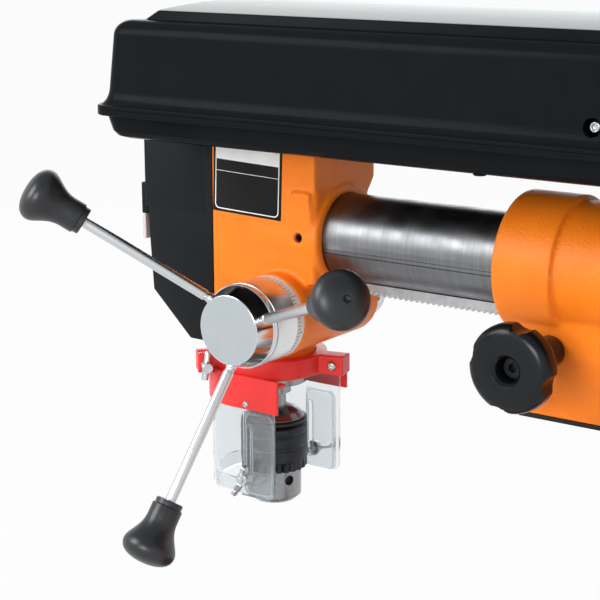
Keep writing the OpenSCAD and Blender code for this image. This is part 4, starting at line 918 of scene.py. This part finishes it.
class DRILL_OT_feed_hub(bpy.types.Operator):
    """Feed hub, depth ring with its scale, shaft, spring and spring cap"""

    bl_idname = "drill.feed_hub"
    bl_label = "Feed hub"

    def execute(self, context):
        origin = at(0, FEED_Y, FEED_Z)
        turned("feed_hub_turned", [
            (9.0, 51.0), (16.0, 51.0), (16.0, 80.0), (24.2, 80.0), (24.2, 87.6),
            (31.1, 87.6, 0.5), (31.4, 91.4, 0.6), (30.4, 92.2, 0.4), (25.9, 106.0, 1.0), (0.0, 106.0)],
            origin, X_AXIS, "feed", "chrome", ("feed_hub",))
        turned("hub_face", [(0.0, 105.95), (24.9, 105.95), (24.9, 106.05), (0, 106.05)],
               origin, X_AXIS, "feed", "hub", slot="chrome")
        turned("depth_ring_turned", [
            (16.1, 54.6), (31.2, 54.6, 0.5), (31.2, 63.6, 0.2), (31.5, 63.8, 0.2), (31.5, 86.8, 0.6),
            (24.6, 86.8), (24.6, 79.0), (16.1, 79.0)],
            origin, X_AXIS, "depth_ring", "ring", ("depth_ring",), closed=True)
        turned("depth_scale_band", [(31.1, 55.2), (31.36, 55.2), (31.36, 63.4), (31.1, 63.4)],
               origin, X_AXIS, "depth_ring", "white", closed=True, slot="chrome")
        marks = context.scene.drill_sizes.scale_marks
        bm = bmesh.new()
        start = 63.2
        half = 0.22
        for i in range(marks):
            long_mark = 6.4 if i % 10 == 0 else 4.6 if i % 5 == 0 else 3.0
            turn = Matrix.Rotation(2 * math.pi * i / marks, 4, "X")
            matrix = Matrix.Translation(origin) @ turn @ Matrix.Scale(MM, 4)
            corners = [(start, -half), (start, half), (start - long_mark, half), (start - long_mark, -half)]
            loft(bm, [[matrix @ Vector((x, y, z)) for x, y in corners] for z in (31.3, 31.44)])
        formed("depth_scale_marks", bm, "depth_ring", "blue", slot="chrome")
        turned("feed_boss_end", [(20.0, 47.0), (31.9, 47.0), (31.9, 54.2, 1.2), (20.0, 54.2)],
               origin, X_AXIS, "head", "orange", closed=True, slot=slot_of("head"))
        dress("steel", "feed_shaft", "return_spring")
        dress("zinc", "spring_cap")
        return {"FINISHED"}


HANDLE_TILT = math.radians(31)
HANDLE_TURN = math.radians(21)
HANDLE_LENGTH = 147.0 / math.cos(HANDLE_TILT)
HUB_HOLE_X = 95.0
HUB_HOLE_R = 27.0


def handle_line(k):
    """Foot and direction of a handle rod."""
    turn = HANDLE_TURN + 2 * math.pi * k / 3
    across = math.cos(HANDLE_TILT)
    along = Vector((math.sin(HANDLE_TILT), across * math.cos(turn), across * math.sin(turn)))
    return at(HUB_HOLE_X - HUB_HOLE_R * math.tan(HANDLE_TILT), FEED_Y, FEED_Z), along


class DRILL_OT_handles(bpy.types.Operator):
    """Three chromed feed handles with their moulded knobs"""

    bl_idname = "drill.handles"
    bl_label = "Feed handles"

    def execute(self, context):
        rods, knobs = bmesh.new(), bmesh.new()
        shaft = softened([
            (0, 15), (4, 15), (4, 36.2, 0.3), (3.4, 36.9, 0.2), (3.4, 38.9, 0.2), (4, 39.7, 0.3),
            (4, 155.5), (0, 155.5)], 2)
        foot = HANDLE_LENGTH - 29.5
        bulb = [
            (0, 13.5), (4.0, 13.5), (4.0, 0.2), (4.5, 0), (9.4, 0), (10.1, 0.5), (10.2, 1.2), (10.2, 4.0),
            (10.6, 4.4), (11.3, 4.6), (11.5, 5.2), (11.5, 14.5), (11.9, 18.0), (12.9, 21.5), (14.5, 25.0),
            (16.6, 28.6), (18.5, 31.8), (19.6, 34.4), (20.0, 36.8), (19.7, 39.2), (18.7, 41.6),
            (17.0, 43.7), (14.4, 45.5), (11.2, 46.8), (7.5, 47.7), (4.6, 48.1), (3.0, 48.2), (2.5, 48.0),
            (2.2, 47.2), (1.4, 46.6), (0, 46.4)]
        for k in range(3):
            start, along = handle_line(k)
            revolve(shaft, 48, bm=rods, matrix=turn_to(start, along))
            revolve([(r, h + foot) for r, h in bulb], 64, bm=knobs, matrix=turn_to(start, along))
        formed("handle_bars", rods, "feed", "rod", ("handle_rods",))
        formed("handle_bulbs", knobs, "feed", "knob", ("handle_knobs",), angle=40)
        return {"FINISHED"}


# Spindle and chuck


class DRILL_OT_chuck(bpy.types.Operator):
    """Quill, spindle, key chuck and its jaws"""

    bl_idname = "drill.chuck"
    bl_label = "Chuck"

    def execute(self, context):
        axis = at(0, SPINDLE_Y, 0)
        dress("steel", "quill_bearings", "chuck_jaw_1", "chuck_jaw_2", "chuck_jaw_3")
        dress("dull", "quill", "spindle")
        crisp("chuck_body", "chuck_body_turned", "dull", 0.0004)
        self.sleeve(context.scene.drill_sizes.sleeve_notches, axis)
        turned("chuck_back_ring", [
            (23.0, -156.1, 0), (26.3, -156.1, 0.3), (25.9, -153.6, 1.6), (23.0, -152.2, 0.6)],
            axis, Z_AXIS, "spindle", "chuck", closed=True, turns=96, slot="black_chuck")
        # Painted shade: short dark plugs of blackened steel set just inside the three key holes, standing
        # in for the shade inside the holes
        holes = bmesh.new()
        middle = at(0, SPINDLE_Y, -202.5)
        for a in (math.radians(70), math.radians(190), math.radians(310)):
            out = Vector((math.cos(a), math.sin(a), 0))
            rod(holes, middle + out * 16.5 * MM, middle + out * 17.6 * MM, 3.9)
        formed("key_hole_painted_shade", holes, "spindle", "chuck", slot="black_chuck")
        return {"FINISHED"}

    def sleeve(self, notches, axis):
        """Sleeve with its key notches round the lower rim and two turned grooves."""
        low, high, outer, inner = -194.5, -156.5, 26.5, 20.56

        def notch(radius, height, angle):
            """Depth of the key notches."""
            if radius <= 24 or height >= low + 7.6:
                return 0.0
            phase = angle * notches / (2 * math.pi) % 1
            return 1.9 * max(0.0, 1 - abs(phase - 0.5) / 0.32)

        grooves = []
        for start in (low + 17.6, low + 28.6):
            for up, deep in ((0.0, 0.0), (0.6, 0.4), (2.2, 0.4), (2.8, 0.0)):
                grooves.append((outer - deep, start + up, 0.3))
        line = softened([
            (inner, low), (outer - 1.4, low), (outer - 0.5, low + 0.6),
            (outer - 0.5, low + 7.4), (outer, low + 8.4, 0.4), *grooves,
            (outer, high - 2.6, 0.8), (outer - 2.6, high, 0.8), (inner, high)], 3)
        matrix = Matrix.Translation(axis) @ Matrix.Scale(MM, 4)
        bm = revolve(line, notches * 10, matrix, closed=True, dent=notch)
        formed("chuck_sleeve_turned", bm, "chuck_sleeve", "chuck", ("chuck_sleeve",))


# Guard


CLAMP_Z = -105.75


class DRILL_OT_guard(bpy.types.Operator):
    """Chuck guard: red ring and holder, clear shield and slide, screws and wing nuts"""

    bl_idname = "drill.guard"
    bl_label = "Chuck guard"

    def execute(self, context):
        soft_casting("guard_ring", "guard_ring_moulded", "red", 0.0009, 3)
        crisp("guard_holder", "guard_holder_moulded", "red", 0.0005)
        dress("clear", "guard_shield", "guard_slide")
        self.beads()
        self.fasteners()
        self.clamp_screw()
        return {"FINISHED"}

    def fasteners(self):
        """Wing nuts on the slide's bolts, and the screws of the holder and the arm."""
        bm = bmesh.new()
        wing = softened([(2.4, 0.8), (6.5, 2.0, 2), (14.4, 6.0, 2.4), (14.0, 12.0, 2.4),
                         (8.8, 11.4, 2.0), (4.8, 7.0, 2), (2.4, 6.4)], 4, True)
        nut = softened([(0, 0), (6.4, 0, 0.4), (6.2, 1.6, 0.6), (5.0, 6.8, 0.6), (2.4, 7.0, 0.2),
                        (2.4, 9.0, 0.5), (0, 9.0)], 3)
        small = softened([(0, 0), (2.6, 0), (2.6, 0.5, 0.2), (1.6, 1.5, 0.4), (1.0, 1.5, 0.1),
                          (0.8, 0.8), (0, 0.8)], 3)
        for side in (1, -1):
            out = X_AXIS * side
            place = at(45.1 * side, -64.0, -192.0)
            revolve(nut, 32, bm=bm, matrix=turn_to(place, out))
            rod(bm, place, at(36.8 * side, -64.0, -192.0), 2.3)
            slant = math.radians(66 if side > 0 else 12)
            for turn in (slant, slant + math.pi):
                radial = Vector((0, math.cos(turn), math.sin(turn)))
                axes = Matrix((radial, out, radial.cross(out))).transposed().to_4x4()
                one = bmesh.new()
                prism(one, wing, -1.9, 1.9, Matrix.Translation(place) @ axes @ Matrix.Scale(MM, 4))
                ease(one, 0.0006, 2)
                joined(bm, one)
            revolve(small, 24, bm=bm, matrix=turn_to(at(47.5 * side, -62.0, -131.5), out))
        along = Vector((math.cos(math.radians(14)), math.sin(math.radians(14)), 0))
        middle = at(0, SPINDLE_Y, CLAMP_Z) + Vector((-along.y, along.x, 0)) * 52 * MM
        rod(bm, middle - along * 8.5 * MM, middle + along * 8.5 * MM, 2.5)
        head = softened([(0, 8), (3.7, 8, 0.2), (3.7, 9.2, 0.5), (2.6, 10.3, 0.5), (1.7, 10.4, 0.2),
                         (1.5, 9.0), (0, 9.0)], 3)
        revolve(head, 32, bm=bm, matrix=turn_to(middle, along))
        node = "guard_fasteners"
        formed("guard_fixings", bm, body_of(node), "zinc", (node,), angle=38)

    def clamp_screw(self):
        """Clamp screw through the ring's lug, with its hollow cross bar."""
        bm = bmesh.new()
        along = Vector((1, 1, 0)).normalized()
        cross = at(52.3, -95.5, CLAMP_Z)
        rod(bm, cross - along * 37 * MM, cross, 2.5)
        rod(bm, cross - along * 10 * MM, cross + along * 6 * MM, 4.2)
        top, low = at(49.6, -96.2, -94.0), at(54.6, -96.2, -116.0)
        length = (low - top).length / MM
        bar = softened([(0, 0), (2.2, 0, 0.4), (2.6, 2, 0.5), (2.8, length, 0.5), (1.7, length, 0.2),
                        (1.7, length - 5), (0, length - 5)], 3)
        revolve(bar, 32, bm=bm, matrix=turn_to(top, low - top))
        node = "guard_clamp_screw"
        formed("guard_clamp_bar", bm, body_of(node), "zinc", (node,), angle=38)

    def beads(self):
        """Raised beads round the slide's two cheeks and their slots."""
        bm = bmesh.new()
        cheek = oblong(-67.2, -41.2, -205.8, -140.7, 5, 5, 6)
        opening = oblong(-67.0, -61.0, -197.0, -150.0, 2.9, 2.9, 6)
        for x in (40.4, -40.4):
            for path in (cheek, opening):
                bead(bm, [at(x, y, z) for y, z in path], 0.75)
        formed("slide_beads", bm, "guard_slide", "bead", slot="clear_shield", angle=60)


# Drive, stand and table


class DRILL_OT_drive(bpy.types.Operator):
    """Pulleys, belt, motor, bracket and drive sleeve"""

    bl_idname = "drill.drive"
    bl_label = "Drive"

    def execute(self, context):
        dress("alloy", "spindle_pulley", "motor_pulley")
        dress("rubber", "drive_belt")
        dress("steel", "drive_sleeve", "sleeve_bearings", "motor_shaft")
        dress("black", "motor")
        crisp("motor_bracket", "motor_bracket_plate", "orange", 0.0008)
        return {"FINISHED"}


class DRILL_OT_stand(bpy.types.Operator):
    """Column, its rack and the flange bolts"""

    bl_idname = "drill.stand"
    bl_label = "Column"

    def execute(self, context):
        dress("column", "column")
        dress("rack", "column_rack")
        dress("zinc", "flange_bolts")
        return {"FINISHED"}


class DRILL_OT_table(bpy.types.Operator):
    """Round table, its crank and all clamp levers"""

    bl_idname = "drill.table"
    bl_label = "Table"

    def execute(self, context):
        crisp("table", "table_turned", "iron", 0.0008)
        dress("steel", "table_crank")
        dress("knob", "crank_grip", "table_lock", "table_clamp", "ram_lock", "swivel_lock")
        return {"FINISHED"}


# Stage


def seen_white(tree):
    """A factor that is one for what the camera, mirrors and clear sheets see."""
    path = tree.nodes.new("ShaderNodeLightPath").outputs
    total = path["Is Camera Ray"]
    for name in ("Is Glossy Ray", "Is Transmission Ray"):
        most = added(tree, "Math", {0: total, 1: path[name]})
        most.operation = "MAXIMUM"
        total = most.outputs[0]
    return total


def studio_walls(tree):
    """White walls from the floor up, under a dim ceiling."""
    coords = tree.nodes.new("ShaderNodeTexCoord")
    parts = added(tree, "SeparateXYZ", {0: coords.outputs["Generated"]})
    return tinted(tree, parts.outputs["Z"], (1, 1, 1), (0.46, 0.46, 0.47), 0.36, 0.62)


def lamp(name, place, target, size, power, tint=(1, 1, 1)):
    """A soft oblong lamp that faces a target."""
    light = bpy.data.lights.new(name, "AREA")
    light.shape = "RECTANGLE"
    light.size, light.size_y = size
    light.energy = power
    light.color = tint
    obj = bpy.data.objects.new(name, light)
    obj.location = place
    obj.visible_camera = False
    obj.rotation_euler = (Vector(target) - Vector(place)).to_track_quat("-Z", "Y").to_euler()
    bpy.context.scene.collection.objects.link(obj)
    return obj


class DRILL_OT_stage(bpy.types.Operator):
    """Pale floor, even studio light and the camera"""

    bl_idname = "drill.stage"
    bl_label = "Stage"

    def execute(self, context):
        scene = context.scene
        stage = scene.drill_stage
        scene.view_settings.view_transform = "Standard"
        self.studio(scene, stage)
        self.floor(context, stage)
        power = stage.key_power
        lamp("key", (1.5, -1.35, 1.75), (0, -0.12, 0.68), (1.1, 1.1), power)
        lamp("side", (2.3, 0.33, 1.14), (0, 0, 0.66), (1.0, 0.6), power * 0.76)
        lamp("far", (-3.0, -2.3, 1.75), (0, 0, 0.85), (3.0, 1.9), power * 0.95, (0.93, 0.99, 1.0))
        self.camera(scene, stage)
        return {"FINISHED"}

    def studio(self, scene, stage):
        """Even light on the pieces, and white walls for what the camera and mirrors see."""
        world = bpy.data.worlds.new("studio")
        scene.world = world
        world.use_nodes = True
        tree = world.node_tree
        even = wire(tree, tree.nodes["Background"], {"Color": (1, 1, 1, 1), "Strength": stage.sky})
        white = added(tree, "Background", {"Color": studio_walls(tree), "Strength": 1.0})
        both = added(tree, "MixShader", {0: seen_white(tree), 1: even.outputs[0], 2: white.outputs[0]})
        wire(tree, tree.nodes["World Output"], {"Surface": both.outputs[0]})

    def floor(self, context, stage):
        """Pale floor that glows for the camera and mirrors, so that no horizon shows."""
        bpy.ops.mesh.primitive_plane_add(size=40, location=(0, 0, -0.0005))
        floor = context.object
        floor.name = "floor"
        mat, tree, base = shader("pale_floor")
        tone = tuple(stage.floor)
        slow = noise(tree, 3.0, 2.0)
        wire(tree, base, {"Base Color": tinted(tree, slow, shade(tone, 0.99), tone), "Roughness": 0.8})
        glow = added(tree, "Emission", {"Strength": 1.0})
        part = added(tree, "Math", {0: seen_white(tree), 1: 0.95})
        part.operation = "MULTIPLY"
        both = added(tree, "MixShader", {0: part.outputs[0], 1: base.outputs[0], 2: glow.outputs[0]})
        out = next(n for n in tree.nodes if n.type == "OUTPUT_MATERIAL")
        wire(tree, out, {"Surface": both.outputs[0]})
        floor.data.materials.append(mat)

    def camera(self, scene, stage):
        """Camera of the photo, from its azimuth, elevation and roll."""
        camera = bpy.data.cameras.new("camera")
        camera.sensor_fit = "HORIZONTAL"
        camera.sensor_width = 36.0
        camera.lens = stage.lens
        camera.clip_end = 50.0
        obj = bpy.data.objects.new("camera", camera)
        place = Matrix.Translation((1.0241, 0.5379, 0.9264))
        turn = Matrix.Rotation(stage.azimuth, 4, "Z")
        tilt = Matrix.Rotation(math.pi / 2 - stage.elevation, 4, "X")
        roll = Matrix.Rotation(stage.roll, 4, "Z")
        obj.matrix_world = place @ turn @ tilt @ roll
        scene.collection.objects.link(obj)
        scene.camera = obj


# Panel and registration

OPERATORS = (
    DRILL_OT_stage, DRILL_OT_castings, DRILL_OT_belt_cover, DRILL_OT_ram, DRILL_OT_ram_knob,
    DRILL_OT_switch, DRILL_OT_plate, DRILL_OT_feed_hub, DRILL_OT_handles, DRILL_OT_chuck, DRILL_OT_guard,
    DRILL_OT_drive, DRILL_OT_stand, DRILL_OT_table,
)


class DRILL_PT_panel(bpy.types.Panel):
    """Lists the pieces of the drill press"""

    bl_idname = "DRILL_PT_panel"
    bl_label = "Drill Press"
    bl_space_type = "VIEW_3D"
    bl_region_type = "UI"
    bl_category = "Drill Press"

    def draw(self, context):
        scene = context.scene
        for group in (scene.drill_paint, scene.drill_sizes, scene.drill_stage):
            for key in group.__annotations__:
                self.layout.prop(group, key)
        for operator in OPERATORS:
            self.layout.operator(operator.bl_idname)


CLASSES = (PaintSettings, SizeSettings, StageSettings, *OPERATORS, DRILL_PT_panel)


def register():
    for cls in CLASSES:
        bpy.utils.register_class(cls)
    bpy.types.Scene.drill_paint = PointerProperty(type=PaintSettings)
    bpy.types.Scene.drill_sizes = PointerProperty(type=SizeSettings)
    bpy.types.Scene.drill_stage = PointerProperty(type=StageSettings)


def unregister():
    del bpy.types.Scene.drill_stage
    del bpy.types.Scene.drill_sizes
    del bpy.types.Scene.drill_paint
    for cls in reversed(CLASSES):
        bpy.utils.unregister_class(cls)


def main():
    """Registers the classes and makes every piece."""
    register()
    bpy.ops.drill.stage()
    bpy.ops.drill.castings()
    bpy.ops.drill.belt_cover()
    bpy.ops.drill.ram()
    bpy.ops.drill.ram_knob()
    bpy.ops.drill.switch()
    bpy.ops.drill.plate()
    bpy.ops.drill.feed_hub()
    bpy.ops.drill.handles()
    bpy.ops.drill.chuck()
    bpy.ops.drill.guard()
    bpy.ops.drill.drive()
    bpy.ops.drill.stand()
    bpy.ops.drill.table()


if __name__ == "__main__":
    main()
